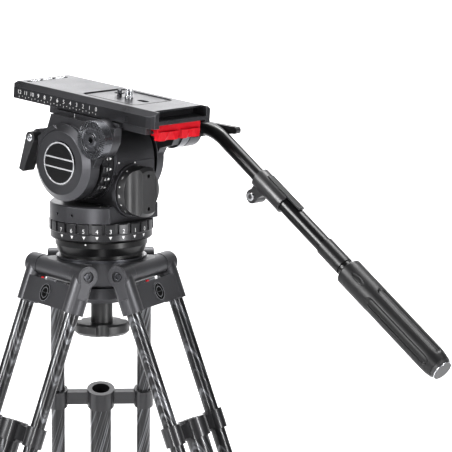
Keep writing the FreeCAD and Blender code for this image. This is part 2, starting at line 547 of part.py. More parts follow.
def release_paddle():
    mid = PADDLE_HALF
    back = box(PADDLE_X0, PADDLE_X0 + 3.5, -mid, mid, PADDLE_LOW + 3, PADDLE_TOP)
    lobes = []
    for y in (-mid / 2, mid / 2):
        lobe = plan([(PADDLE_X0, y - mid / 2), (PADDLE_X1 - 1.5, y - mid / 2 + 3), (PADDLE_X1, y - 6),
                     (PADDLE_X1, y + 6), (PADDLE_X1 - 1.5, y + mid / 2 - 3), (PADDLE_X0, y + mid / 2)],
                    PADDLE_LOW, PADDLE_TOP - 7)
        lobes.append(lobe.cut(cone((PADDLE_X1 + 8, y, PADDLE_LOW - 4), (PADDLE_X1 + 5.5, y, PADDLE_TOP),
                                   13, 4)))
    px, pz = PADDLE_PIN_X, PADDLE_PIN_Z
    arms = []
    for y in (-mid, -2.5, mid - 5):
        arms.append(joined(rod((px, y, pz), (px, y + 5, pz), PADDLE_PIN_R + 1.6),
                           box(px, PADDLE_X0 + 1, y, y + 5, pz - 3.6, pz + 3.6)))
    bore = rod((px, -mid - 1, pz), (px, mid + 1, pz), PADDLE_PIN_R + RUN)
    return cut(joined(back, *(lobes + arms)), bore)


def tilt_brake_lever():
    hub_back = BRAKE_FACE_Y + 12 - GAP
    hub = rod((BRAKE_X, BRAKE_FACE_Y, BRAKE_Z), (BRAKE_X, hub_back, BRAKE_Z), BRAKE_HUB_R)
    half, tip, end = BRAKE_HUB_R - 0.4, BRAKE_TIP / 2, BRAKE_Z - BRAKE_LENGTH
    shank = slab([(BRAKE_X - half, BRAKE_Z - 1), (BRAKE_X - tip, end), (BRAKE_X + tip, end),
                  (BRAKE_X + half, BRAKE_Z - 1)], BRAKE_FACE_Y, hub_back)
    mid = BRAKE_HUB_R - 1.4
    blade = slab([(BRAKE_X - mid, BRAKE_Z - 12), (BRAKE_X - tip, end), (BRAKE_X + tip, end),
                  (BRAKE_X + mid, BRAKE_Z - 12)], hub_back - 1, BRAKE_BACK_Y)
    lever = spun(joined(hub, shank, blade), BRAKE_LEAN, Vec(BRAKE_X, 0, BRAKE_Z), Y_AXIS)
    return joined(lever, rod((BRAKE_X, BRAKE_FACE_Y, BRAKE_Z), (BRAKE_X, ARM_BACK_Y, BRAKE_Z), 2.5))


def camera_plate():
    turn_x, turn_y = PLATE_OPERATOR_X - PLATE_CORNER_X, PLATE_HALF - PLATE_CORNER_Y
    outline = [(PLATE_LENS_X + 4, -PLATE_HALF), (turn_x, -PLATE_HALF), (turn_x + 6, -PLATE_HALF + 0.9),
               (PLATE_OPERATOR_X, -turn_y), (PLATE_OPERATOR_X, turn_y), (turn_x + 6, PLATE_HALF - 0.9),
               (turn_x, PLATE_HALF), (PLATE_LENS_X + 4, PLATE_HALF),
               (PLATE_LENS_X, PLATE_HALF - 4), (PLATE_LENS_X, -PLATE_HALF + 4)]
    block = plan(outline, PLATE_BOTTOM, PLATE_TOP)
    bevels = []
    for side in (-1, 1):
        corners = [Vec(-200, side * (PLATE_HALF + 1), PLATE_BEVEL_Z),
                   Vec(-200, side * PLATE_HALF, PLATE_BEVEL_Z),
                   Vec(-200, side * (PLATE_HALF - PLATE_BEVEL), PLATE_TOP),
                   Vec(-200, side * (PLATE_HALF - PLATE_BEVEL), PLATE_TOP + 1),
                   Vec(-200, side * (PLATE_HALF + 1), PLATE_TOP + 1)]
        face = Part.Face(Part.makePolygon(corners + [corners[0]]))
        bevels.append(face.extrude(Vec(400, 0, 0)))
    lens_round = [Vec(PLATE_LENS_X - 1, -80, PLATE_TOP - 4), Vec(PLATE_LENS_X - 1, -80, PLATE_TOP + 1),
                  Vec(PLATE_LENS_X + 4, -80, PLATE_TOP + 1)]
    lens_cut = Part.Face(Part.makePolygon(lens_round + [lens_round[0]])).extrude(Vec(0, 160, 0))
    c = PANEL_CORNER
    panel = plan([(PANEL_X0, -PANEL_HALF), (PANEL_X1 - c, -PANEL_HALF), (PANEL_X1 - 2, -PANEL_HALF + 2.2),
                  (PANEL_X1, -PANEL_HALF + c), (PANEL_X1, PANEL_HALF - c),
                  (PANEL_X1 - 2, PANEL_HALF - 2.2), (PANEL_X1 - c, PANEL_HALF), (PANEL_X0, PANEL_HALF)],
                 PLATE_TOP - PANEL_DEPTH, PLATE_TOP + 1)
    strip = box(PANEL_X0, PANEL_X0 + STRIP_WIDTH, -PANEL_HALF, PANEL_HALF, PLATE_TOP - STRIP_DEPTH,
                PLATE_TOP + 1)
    pocket = slotted(-POCKET_HALF + POCKET_WIDTH / 2, POCKET_HALF - POCKET_WIDTH / 2, 0,
                     POCKET_WIDTH / 2, PLATE_TOP - POCKET_DEPTH, PLATE_TOP + 1)
    pocket = moved(spun(pocket, 90), POCKET_X, POCKET_Y, 0)
    screw_hole = rod((CAMERA_SCREW_X, 0, PLATE_BOTTOM - 9), (CAMERA_SCREW_X, 0, PLATE_TOP + 1),
                     CAMERA_SCREW_R + RUN)
    head_hole = rod((CAMERA_SCREW_X, 0, PLATE_BOTTOM - 9), (CAMERA_SCREW_X, 0, PLATE_TOP - 5), 9.5)
    pin_hole = rod((PIN_X, 0, PLATE_TOP - 6), (PIN_X, 0, PLATE_TOP + 1), PIN_R)
    spare_hole = slotted(PIN_X + 33, PIN_X + 40, 0, 4, PLATE_TOP - 6, PLATE_TOP + 1)
    end_recess = box(PLATE_OPERATOR_X - END_RECESS, PLATE_OPERATOR_X + 1, -END_RECESS_HALF,
                     END_RECESS_HALF, END_BAR_TOP, PLATE_TOP - 2)
    skin = box(PLATE_OPERATOR_X - SKIN_SETBACK, PLATE_OPERATOR_X + 1, -END_RECESS_HALF,
               END_RECESS_HALF, END_BAR_TOP, PLATE_TOP + 1)
    channel = rail(PLATE_LENS_X - 1, PLATE_OPERATOR_X + 1, GAP)
    return cut(block, channel, panel, strip, pocket, screw_hole, head_hole, pin_hole, spare_hole,
               end_recess, skin, lens_cut, *bevels)


def camera_screw():
    x = CAMERA_SCREW_X
    thread = rod((x, 0, PLATE_TOP), (x, 0, PLATE_TOP + CAMERA_SCREW_RISE), CAMERA_SCREW_R)
    neck = rod((x, 0, PLATE_TOP - 12), (x, 0, PLATE_TOP + 0.1), CAMERA_SCREW_R - 0.6)
    head = rod((x, 0, PLATE_TOP - 13), (x, 0, PLATE_TOP - 5 - GAP), 9)
    return joined(thread, neck, head)


def plate_fittings():
    """Locating pin and the three spare screws in the plate's pocket."""
    pin = rod((PIN_X, 0, PLATE_TOP - 6), (PIN_X, 0, PLATE_TOP + PIN_RISE), PIN_R)
    spares = [rod((POCKET_X, POCKET_Y + y - 7, PLATE_TOP - POCKET_DEPTH + 1.9),
                  (POCKET_X, POCKET_Y + y + 7, PLATE_TOP - POCKET_DEPTH + 1.9), 1.9)
              for y in (-19, 0, 19)]
    return Part.makeCompound([pin] + spares)


# ---- pan bar, drawn where it stands ----
def bar_point(t):
    """Point on the straight run of the bar, t mm from the bend's corner."""
    drop = math.radians(BAR_DROP)
    return (BAR_BEND_X + t * math.cos(drop), BAR_PLANE_Y, BAR_BEND_Z - t * math.sin(drop))


def bar_centre():
    """World place of the far rosette's centre at rest."""
    angle = math.radians(REST_TILT)
    up = ROSETTE_Z - TILT_Z
    return (ROSETTE_X * math.cos(angle) + up * math.sin(angle),
            TILT_Z - ROSETTE_X * math.sin(angle) + up * math.cos(angle))


def bar_hub_faces():
    near = FAR_ARM_FACE_Y + ROSETTE_LENGTH + GAP
    return near, near + BAR_HUB_LENGTH


def bar_hub():
    x, z = bar_centre()
    near, far = bar_hub_faces()
    disc = rod((x, near, z), (x, far, z), ROSETTE_R)
    neck = slab([(x, z - 12), (x + 30, z - 7), (x + 30, z + 11), (x, z + 14)], near + 1.5, far - 1.5)
    y = BAR_PLANE_Y
    socket = rod((x + 14, y, z + 1.5), (x + 34, y, z + 2.4), BAR_R + 0.01)
    bolt = rod((x, near - 1, z), (x, far + 1, z), 4)
    return cut(joined(disc, neck), socket, bolt)


def bar_arm():
    x, z = bar_centre()
    start = Vec(x + 14, BAR_PLANE_Y, z + 1.5)
    corner = Vec(BAR_BEND_X, BAR_PLANE_Y, BAR_BEND_Z)
    end = Vec(*bar_point(BAR_COLLAR_START + BAR_OVERLAP))
    into, out = (corner - start).normalize(), (end - corner).normalize()
    turn = into.getAngle(out)
    reach = min(BAR_BEND_R * math.tan(turn / 2), 0.9 * (corner - start).Length)
    radius = reach / math.tan(turn / 2)
    a, b = corner - into * reach, corner + out * reach
    middle_dir = (out - into).normalize()
    mid = corner + middle_dir * (radius / math.cos(turn / 2) - radius)
    path = Part.Wire([Part.LineSegment(start, a).toShape(), Part.Arc(a, mid, b).toShape(),
                      Part.LineSegment(b, end).toShape()])
    section = Part.Wire(Part.Circle(start, into, BAR_R).toShape())
    return path.makePipeShell([section], True, False)


def bar_bolt():
    x, z = bar_centre()
    near, far = bar_hub_faces()
    return rod((x, near, z), (x, far + WING_THICKNESS + GAP, z), 4)


def bar_wing():
    x, z = bar_centre()
    near, far = bar_hub_faces()
    y0, y1 = far + GAP, far + GAP + WING_THICKNESS
    tip_x, tip_z = x + WING_LENGTH, z + 1.5
    hub = rod((x, y0, z), (x, y1, z), WING_R)
    tip = rod((tip_x, y0 + 2, tip_z), (tip_x, y1 - 2, tip_z), 4)
    blade = slab([(x, z - WING_R + 0.6), (tip_x, tip_z - 3.7), (tip_x, tip_z + 3.7),
                  (x, z + WING_R - 0.6)], y0 + 2, y1 - 2)
    return joined(hub, blade, tip).cut(rod((x, y0 - 1, z), (x, y1 + 1, z), 4 + RUN))


def bar_collar():
    a = bar_point(BAR_COLLAR_START)
    b = bar_point(BAR_COLLAR_START + BAR_COLLAR_LENGTH)
    ring = tube(a, b, BAR_COLLAR_R, BAR_TUBE_R)
    lug_x, lug_z = lug_centre()
    lug = rod((lug_x, BAR_PLANE_Y - LUG_WIDTH / 2, lug_z), (lug_x, BAR_PLANE_Y + LUG_WIDTH / 2, lug_z),
              LUG_R)
    web_x, _, web_z = bar_point(BAR_COLLAR_START + 24)
    near_x, _, near_z = bar_point(BAR_COLLAR_START + 3)
    web = slab([(near_x, near_z), (web_x, web_z), (lug_x + 5, lug_z - 3), (lug_x - 5, lug_z + 3)],
               BAR_PLANE_Y - LUG_WIDTH / 2, BAR_PLANE_Y + LUG_WIDTH / 2)
    web = web.cut(rod(a, b, BAR_TUBE_R))
    slot = lock_slab(LOCK_START - LOCK_HALF - GAP, BAR_COLLAR_LENGTH + 1, BAR_COLLAR_R * 0.6,
                     BAR_COLLAR_R + 4, LOCK_WIDTH / 2 + GAP)
    cleaned = cut(joined(ring, lug, web), rod(a, b, BAR_TUBE_R), slot)
    return cut(cleaned, rod((lug_x, BAR_PLANE_Y - 20, lug_z), (lug_x, BAR_PLANE_Y + 20, lug_z), 2.5))


def lug_centre():
    """Centre of the clamp lug, square below the bar near the collar's start."""
    drop = math.radians(BAR_DROP)
    x, _, z = bar_point(BAR_COLLAR_START + 7)
    return x - LUG_DROP * math.sin(drop), z - LUG_DROP * math.cos(drop)


def bar_above(t, rise):
    """Point above the collar's axis, t mm past the collar's start."""
    drop = math.radians(BAR_DROP)
    x, y, z = bar_point(BAR_COLLAR_START + t)
    return x + rise * math.sin(drop), y, z + rise * math.cos(drop)


def lock_slab(t0, t1, low, high, half):
    """Bar-shaped slab over the collar between two heights above its axis."""
    corners = [bar_above(t, rise) for t, rise in ((t0, low), (t1, low), (t1, high), (t0, high))]
    return slab([(x, z) for x, _, z in corners], BAR_PLANE_Y - half, BAR_PLANE_Y + half)


def bar_collar_lever():
    x, y, z = bar_above(LOCK_START, LOCK_RISE)
    half = LOCK_WIDTH / 2
    blade = lock_slab(LOCK_START, LOCK_END, LOCK_RISE - LOCK_HALF, LOCK_RISE + LOCK_HALF, half)
    return joined(blade, rod((x, y - half, z), (x, y + half, z), LOCK_HALF))


def bar_fastener():
    lug_x, lug_z = lug_centre()
    half = LUG_WIDTH / 2
    shank = rod((lug_x, BAR_PLANE_Y - half, lug_z), (lug_x, BAR_PLANE_Y + half, lug_z), 2.5)
    head = rod((lug_x, BAR_PLANE_Y - half - 2.5, lug_z), (lug_x, BAR_PLANE_Y - half, lug_z), 4.6)
    return joined(shank, head)


def bar_tube():
    a = bar_point(BAR_COLLAR_START)
    b = bar_point(BAR_GRIP_START + BAR_GRIP_LENGTH - BAR_GRIP_TAPER)
    return tube(a, b, BAR_TUBE_R, BAR_R + RUN)


def bar_sleeve():
    a = bar_point(BAR_SLEEVE_START)
    b = bar_point(BAR_SLEEVE_START + BAR_SLEEVE_LENGTH)
    return tube(a, b, BAR_SLEEVE_R, BAR_TUBE_R)


def bar_grip():
    start = bar_point(BAR_GRIP_START)
    shoulder = bar_point(BAR_GRIP_START + 1.2)
    taper = bar_point(BAR_GRIP_START + BAR_GRIP_LENGTH - BAR_GRIP_TAPER)
    end = bar_point(BAR_GRIP_START + BAR_GRIP_LENGTH - BAR_CAP_LENGTH)
    end_r = BAR_GRIP_END_R + 0.7
    grip = joined(cone(start, shoulder, BAR_GRIP_R - 1, BAR_GRIP_R), rod(shoulder, taper, BAR_GRIP_R),
                  cone(taper, end, BAR_GRIP_R, end_r))
    return grip.cut(rod(start, taper, BAR_TUBE_R))


def grip_cap():
    a = bar_point(BAR_GRIP_START + BAR_GRIP_LENGTH - BAR_CAP_LENGTH)
    b = bar_point(BAR_GRIP_START + BAR_GRIP_LENGTH)
    return cone(a, b, BAR_GRIP_END_R + 0.2, BAR_GRIP_END_R - 1.5)


# ---- one leg, drawn hanging straight down from its hinge ----
def twin(shape):
    """The same piece on both tubes."""
    return [moved(shape, 0, TUBE_HALF, 0), moved(shape, 0, -TUBE_HALF, 0)]


def leg_bracket():
    pieces = []
    inner = BARREL_HALF + GAP
    outer = TUBE_HALF + CHEEK_OUT
    for side in (-1, 1):
        y0, y1 = sorted((side * inner, side * outer))
        barrel = rod((0, y0, 0), (0, y1, 0), BARREL_R + 0.5)
        socket = rod((0, side * TUBE_HALF, -SOCKET_DEPTH), (0, side * TUBE_HALF, 0), SOCKET_R)
        f0, f1 = sorted((side * (outer - 2), side * (outer + 0.8)))
        pad = joined(rod((0, f0, 0), (0, f1, 0), PAD_R),
                     slab([(-PAD_R * 0.95, -2), (0, -PAD_TIP - 6), (PAD_R * 0.95, -2)], f0, f1))
        recess = sorted((side * (outer - 1.5), side * (outer + 2)))
        screw = rod((0, recess[0], 0), (0, recess[1], 0), 6.2)
        pieces += [barrel, socket, pad]
        pieces.append(screw)
    recesses = [pieces.pop(3), pieces.pop(6)]
    x0 = 10.5 - WEB_THICKNESS
    web = box(x0, x0 + WEB_THICKNESS, -TUBE_HALF, TUBE_HALF, -SOCKET_DEPTH + 1, -WEB_TOP)
    badge_z = -(SOCKET_DEPTH + WEB_TOP) / 2
    badge = rod((x0 + 1, 0, badge_z), (x0 + WEB_THICKNESS + BADGE_RAISE, 0, badge_z), BADGE_R)
    solid = joined(pieces[0], *(pieces[1:] + [web, badge]))
    flats = [box(-30, 30, *sorted((side * (outer + 0.8), side * (outer + 20))), -PAD_TIP - 6, 30)
             for side in (-1, 1)]
    sockets = twin(rod((0, 0, -SOCKET_DEPTH - 1), (0, 0, -BARREL_R), UPPER_TUBE_R))
    bolt = rod((0, -outer - 3, 0), (0, outer + 3, 0), HINGE_BOLT_R + RUN)
    return cut(solid, bolt, *(sockets + recesses + flats))


def upper_tubes():
    one = tube((0, 0, -UPPER_TUBE_END), (0, 0, -BARREL_R), UPPER_TUBE_R,
               UPPER_TUBE_R - UPPER_TUBE_WALL)
    return Part.makeCompound(twin(one))


def stage_block_span():
    return -UPPER_TUBE_END - 4, -UPPER_TUBE_END - 4 + STAGE_BLOCK_HEIGHT


def lever_post(z0, z1, r_tube):
    """Ear for a clamp lever's pin, standing out from a collar."""
    x = r_tube + 11
    return joined(box(r_tube - 2, x, -6, 6, z0, z1), rod((x, 0, z0), (x, 0, z1), 6)), x


def lever_cut(z_mid, x):
    gap = LEVER_WIDTH / 2 + GAP
    return rod((x, 0, z_mid - gap), (x, 0, z_mid + gap), 7.5)


def stage_block():
    z0, z1 = stage_block_span()
    sockets = twin(rod((0, 0, z0), (0, 0, z1), SOCKET_R))
    guide_r = MIDDLE_TUBE_R + COLLAR_WALL
    guide = rod((0, 0, z0), (0, 0, z1), guide_r)
    web = box(-5, 5, -TUBE_HALF, TUBE_HALF, z0 + 4, z1 - 4)
    post, x = lever_post(z0 + 3, z1 - 3, guide_r)
    solid = joined(guide, web, post, *sockets)
    mid = (z0 + z1) / 2
    bores = twin(rod((0, 0, -UPPER_TUBE_END), (0, 0, z1 + 1), UPPER_TUBE_R))
    return cut(solid, rod((0, 0, z0 - 1), (0, 0, z1 + 1), MIDDLE_TUBE_R + RUN), lever_cut(mid, x),
               rod((x, 0, z0 - 1), (x, 0, z1 + 1), LEVER_PIN_R + RUN), *bores)


def clamp_lever(z0, z1, r_tube):
    """Flip lever on a pin parallel to the tube; it lies across the collar's front."""
    x = r_tube + 11
    mid = (z0 + z1) / 2
    half = LEVER_WIDTH / 2
    hub = rod((x, 0, mid - half), (x, 0, mid + half), 5.5)
    arm = plan([(x + 5.4, 0), (x + 5.4, 14), (x - 1, LEVER_LENGTH), (x - 4, LEVER_LENGTH - 1),
                (x + 1.5, 14), (x, 0)], mid - half, mid + half)
    pin = rod((x, 0, z0 + 3), (x, 0, z1 - 3), LEVER_PIN_R)
    return joined(hub, arm, pin)


def middle_stage():
    tube_solid = tube((0, 0, -MIDDLE_TUBE_END), (0, 0, -MIDDLE_TUBE_TOP), MIDDLE_TUBE_R,
                      MIDDLE_TUBE_BORE_R)
    z1 = -MIDDLE_TUBE_TOP
    z0 = z1 - CROSSHEAD_HEIGHT
    guides = twin(rod((0, 0, z0), (0, 0, z1), UPPER_TUBE_R + GUIDE_WALL))
    bar = joined(box(-4, 4, -TUBE_HALF, TUBE_HALF, z0 + 3, z1 - 3),
                 rod((0, 0, z0), (0, 0, z1), MIDDLE_TUBE_R + GUIDE_WALL), *guides)
    crosshead = cut(bar, rod((0, 0, z0 - 1), (0, 0, z1 + 1), MIDDLE_TUBE_R),
                    *twin(rod((0, 0, z0 - 1), (0, 0, z1 + 1), UPPER_TUBE_R + RUN)))
    c0, c1 = collar_span()
    r = MIDDLE_TUBE_R + COLLAR_WALL
    post, x = lever_post(c0 + 3, c1 - 3, r)
    collar = cut(joined(rod((0, 0, c0), (0, 0, c1), r), post),
                 rod((0, 0, c0 - 1), (0, 0, c1 + 1), MIDDLE_TUBE_R), lever_cut((c0 + c1) / 2, x),
                 rod((x, 0, c0 - 1), (x, 0, c1 + 1), LEVER_PIN_R + RUN))
    return Part.makeCompound([tube_solid, crosshead, collar])


def collar_span():
    return -MIDDLE_TUBE_END, -MIDDLE_TUBE_END + COLLAR_HEIGHT


def lower_tube():
    body = tube((0, 0, -FOOT_REACH + 14), (0, 0, -LOWER_TUBE_TOP), LOWER_TUBE_R,
                LOWER_TUBE_R - LOWER_TUBE_WALL)
    plug = joined(rod((0, 0, -FOOT_REACH + 8), (0, 0, -FOOT_REACH + 30), LOWER_TUBE_R - LOWER_TUBE_WALL),
                  cone((0, 0, -FOOT_REACH + 5), (0, 0, -FOOT_REACH + 14), 6, LOWER_TUBE_R),
                  Part.makeSphere(FOOT_BALL_R, Vec(0, 0, -FOOT_REACH)))
    plug = plug.cut(body)
    return Part.makeCompound([body, plug])


def foot():
    """Rubber foot, drawn with its ball socket at the origin."""
    low = -FOOT_BALL_HEIGHT
    pad = turned([(0, low), (FOOT_R - 2, low), (FOOT_R, low + 2), (FOOT_R, low + 6),
                  (FOOT_BALL_R + 4, 2.5), (0, 2.5)])
    mouth = cone((0, 0, 0), (0, 0, 12), FOOT_BALL_R - 0.5, FOOT_BALL_R + 13)
    return cut(pad, Part.makeSphere(FOOT_BALL_R + RUN * 2), mouth)


def leg_stand(shape, index, lean=LEG_SPREAD):
    """Lean a leg piece out at its hinge and turn it to its place round the crown."""
    leaning = spun(shape, -lean, ORIGIN, Y_AXIS)
    return spun(moved(leaning, HINGE_RADIUS, 0, -HINGE_DROP), leg_angle(index))


def foot_stand(shape, index):
    lean = math.radians(LEG_SPREAD)
    out = HINGE_RADIUS + FOOT_REACH * math.sin(lean)
    down = -HINGE_DROP - FOOT_REACH * math.cos(lean)
    return spun(moved(shape, out, 0, down), leg_angle(index))


os.makedirs("parts", exist_ok=True)

write("crown_casting", crown())
write("bowl_rim_ring", rim_ring())
write("hinge_bolts", hinge_bolts())
write("levelling_washer", levelling_washer())
write("ball_base", ball_base())
write("tie_down_cup", tie_down_cup())
write("tie_down_knob", tie_down_knob())
write("pan_drag_ring", pan_drag_ring())
write("pan_housing", pan_housing())
write("bubble_level", bubble_level())
write("pan_brake_lever", pan_brake_lever())
write("main_body", main_body())
write("tilt_bearings", tilt_bearings())
write("counterbalance_knob", counterbalance_knob())
write("tilt_drag_dial", tilt_drag_dial())

write("tilt_shaft", tilted(tilt_shaft()))
write("tilt_arm_near", tilted(tilt_arm_near()))
write("tilt_arm_far", tilted(tilt_arm_far()))
write("cheek_cap", tilted(cheek_cap()))
write("plate_seat", tilted(plate_seat()))
write("handle_rosettes", tilted(both_rosettes([rosette()])))
write("rosette_screws", tilted(both_rosettes(rosette_screw())))
write("tilt_brake_lever", tilted(tilt_brake_lever()))
write("release_paddle", tilted(release_paddle()))
write("camera_plate", tilted(camera_plate()))
write("camera_screw", tilted(camera_screw()))
write("plate_fittings", tilted(plate_fittings()))

write("bar_hub", Part.makeCompound([bar_hub(), bar_bolt()]))
write("bar_arm", bar_arm())
write("bar_wing_lever", bar_wing())
write("bar_collar", Part.makeCompound([bar_collar(), bar_fastener()]))
write("bar_collar_lever", bar_collar_lever())
write("bar_tube", bar_tube())
write("bar_sleeve", bar_sleeve())
write("bar_grip", bar_grip())
write("bar_grip_cap", grip_cap())

UPPER_GUIDE_R = MIDDLE_TUBE_R + COLLAR_WALL
for leg_index, leg_name in enumerate(LEG_NAMES):
    prefix = "leg_" + leg_name + "_"
    write(prefix + "bracket", leg_stand(leg_bracket(), leg_index))
    write(prefix + "upper_tubes", leg_stand(upper_tubes(), leg_index))
    write(prefix + "stage_block", leg_stand(stage_block(), leg_index))
    write(prefix + "upper_lever", leg_stand(clamp_lever(*stage_block_span(), UPPER_GUIDE_R), leg_index))
    write(prefix + "middle_stage", leg_stand(middle_stage(), leg_index))
    write(prefix + "lower_lever", leg_stand(clamp_lever(*collar_span(), UPPER_GUIDE_R), leg_index))
    write(prefix + "lower_tube", leg_stand(lower_tube(), leg_index))
    write(prefix + "foot", foot_stand(foot(), leg_index))
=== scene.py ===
import json
import math

import bpy
import numpy as np
from mathutils import Matrix, Vector


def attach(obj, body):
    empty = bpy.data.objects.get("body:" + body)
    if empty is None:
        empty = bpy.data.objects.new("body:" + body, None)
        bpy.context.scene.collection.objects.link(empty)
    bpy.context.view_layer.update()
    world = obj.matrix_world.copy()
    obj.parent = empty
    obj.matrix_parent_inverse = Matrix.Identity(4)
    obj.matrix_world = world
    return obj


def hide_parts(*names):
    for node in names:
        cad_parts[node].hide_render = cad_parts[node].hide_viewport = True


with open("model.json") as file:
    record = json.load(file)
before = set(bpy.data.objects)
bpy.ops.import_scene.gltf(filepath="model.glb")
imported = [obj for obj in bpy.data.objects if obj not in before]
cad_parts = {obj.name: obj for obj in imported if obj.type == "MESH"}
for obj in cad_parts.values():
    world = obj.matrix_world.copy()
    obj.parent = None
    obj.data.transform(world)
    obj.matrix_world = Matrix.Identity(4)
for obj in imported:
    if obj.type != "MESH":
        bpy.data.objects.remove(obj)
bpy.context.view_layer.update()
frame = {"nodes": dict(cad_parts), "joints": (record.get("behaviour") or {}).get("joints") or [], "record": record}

NODES = frame["nodes"]
JOINTS = {joint["name"]: joint for joint in frame["joints"]}
MM = 0.001
LEGS = ("rear", "left", "right")

# Sizes of the head, in mm, above the bowl's rim or from the pan axis.
TILT_AXIS_UP = 107.5
PLATE_TOP = 181.0
PLATE_SIDE_Y = -45.7
SEAT_SIDE_Y = -48.0
BODY_FACE_X = 47.0
CAP_FACE_Y = -64.4
# Where the plate's index line stands along the head.
INDEX_X = 3.8
# Radii on which marks are printed, and the height of the counterbalance knob's axis.
PAN_NUMBER_RADIUS = 57.6
PAN_ARROW_RADIUS = 56.4
PAN_INDEX_RADIUS = 51.0
TILT_DIAL_RADIUS = 44.0
KNOB_RADIUS = 27.6
KNOB_AXIS_UP = 75.7
# Printed marks stand PRINT_THICK proud, with their backs PRINT_SUNK under the surface.
PRINT_THICK = 0.06
PRINT_SUNK = 0.04
# Edges that meet at a larger angle than this stay sharp on smooth pieces, in degrees.
SHARP_ANGLE = 32
# The view's direction from the pan axis, in degrees.
VIEW_AZIMUTH = 43.1
VIEW_ELEVATION = 9.05


# ---- places taken from the frame ----
def pivot(joint):
    """Where a joint's axis stands, in metres."""
    return Vector(JOINTS[joint]["pos_m"])


def direction(joint):
    """A joint's axis as a unit vector."""
    return Vector(JOINTS[joint]["axis"]).normalized()


RIM = pivot("pan_turn").z
TILT = pivot("tilt_turn")
PLATE_UP = direction("camera_screw_turn")
REST = math.atan2(PLATE_UP.x, PLATE_UP.z)


def on_head(spots):
    """Points in mm above the bowl's rim to metres in the frame."""
    return np.asarray(spots, float) * MM + np.array([0.0, 0.0, RIM])


def on_tilt(spots):
    """The same, then turned with the tilting parts to the rest tilt."""
    spots = on_head(spots) - np.array(TILT)
    x = spots[..., 0] * math.cos(REST) + spots[..., 2] * math.sin(REST)
    z = -spots[..., 0] * math.sin(REST) + spots[..., 2] * math.cos(REST)
    return np.stack((x, spots[..., 1], z), -1) + np.array(TILT)


def leg_axes(leg):
    """A leg's hinge point, its outward, sideways and upward directions."""
    up = -direction("leg_" + leg + "_middle_slide")
    side = direction("leg_" + leg + "_fold")
    hinge = pivot("leg_" + leg + "_fold")
    outward = side.cross(up)
    if outward.dot(Vector((hinge.x, hinge.y, 0))) < 0:
        side, outward = -side, -outward
    return hinge, outward, side, up


def on_leg(leg):
    """A map from mm in a leg's own axes (outward, sideways, up from its hinge) to the frame."""
    hinge, outward, side, up = leg_axes(leg)
    axes = np.array([outward, side, up])
    return lambda spots: np.asarray(spots, float) @ axes * MM + np.array(hinge)


BAR_LINE = direction("bar_extend")
BAR_HIGH = Vector((-BAR_LINE.z, 0, BAR_LINE.x))
BAR_START = on_head([98.0, 76.0, 142.0])


# ---- meshes ----
def piece(name, spots, faces, body, finish, smooth=False):
    """A mesh from points in metres and faces, riding on a body."""
    mesh = bpy.data.meshes.new(name)
    mesh.from_pydata(np.asarray(spots).tolist(), [], faces)
    mesh.materials.append(finish)
    if smooth:
        mesh.shade_smooth()
        mesh.set_sharp_from_angle(angle=math.radians(SHARP_ANGLE))
    made = bpy.data.objects.new(name, mesh)
    bpy.context.scene.collection.objects.link(made)
    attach(made, body)
    return made


def skin(shape):
    """Faces of a grid of rings by steps round, closed round, with a point at each end."""
    count, steps = shape
    i, j = np.meshgrid(np.arange(count - 1), np.arange(steps), indexing="ij")
    k = (j + 1) % steps
    quads = np.stack((i * steps + j, i * steps + k, (i + 1) * steps + k, (i + 1) * steps + j), -1)
    faces = quads.reshape(-1, 4).tolist()
    low, high = count * steps, count * steps + 1
    ring = range(steps)
    faces += [(low, (j + 1) % steps, j) for j in ring]
    base = (count - 1) * steps
    faces += [(high, base + j, base + (j + 1) % steps) for j in ring]
    return faces


def around(steps):
    """Equal angles once round, in radians."""
    return 2 * np.pi * np.arange(steps) / steps


def turned(heights, radii, steps=48):
    """Rings of radius radii at heights along Z, and a middle point at each end.

    radii may be one number a ring, or a grid of rings by steps round."""
    heights = np.asarray(heights, float)
    radii = np.asarray(radii, float)
    if radii.ndim == 1:
        radii = np.repeat(radii[:, None], steps, axis=1)
    a = around(radii.shape[1])
    tall = np.broadcast_to(heights[:, None], radii.shape)
    rings = np.stack((radii * np.cos(a), radii * np.sin(a), tall), -1)
    spots = np.concatenate((rings.reshape(-1, 3), [[0, 0, heights[0]], [0, 0, heights[-1]]]))
    return spots, skin(radii.shape)


def prism(outline, thick=PRINT_THICK):
    """A flat outline (anticlockwise) raised by its thickness, its back just under the surface."""
    outline = np.asarray(outline, float)
    n = len(outline)
    low = np.column_stack((outline, np.full(n, -PRINT_SUNK)))
    high = np.column_stack((outline, np.full(n, thick)))
    sides = [(j, (j + 1) % n, n + (j + 1) % n, n + j) for j in range(n)]
    return np.concatenate((low, high)), [tuple(range(n))[::-1], tuple(range(n, 2 * n))] + sides


def dot(radius):
    """A printed disc, as a 14-sided outline."""
    a = around(14)
    return prism(np.stack((radius * np.cos(a), radius * np.sin(a)), -1))


def stroke(x0, x1, y0, y1):
    """A printed rectangle."""
    return prism([(x0, y0), (x1, y0), (x1, y1), (x0, y1)])


def loop_faces(n):
    """Faces round a tube of four closed rows of n points: inner and outer, low and high."""
    return [(q * n + j, q * n + (j + 1) % n, p * n + (j + 1) % n, p * n + j)
            for p, q in ((0, 1), (1, 2), (2, 3), (3, 0)) for j in range(n)]


def band(radius, width, steps=72, thick=PRINT_THICK):
    """A flat ring: four circles joined, inner and outer, low and high."""
    a = around(steps)
    inner = radius - width
    rows = [(inner, -PRINT_SUNK), (radius, -PRINT_SUNK), (radius, thick), (inner, thick)]
    spots = np.concatenate([np.stack((r * np.cos(a), r * np.sin(a), np.full(steps, w)), -1)
                            for r, w in rows])
    return spots, loop_faces(steps)


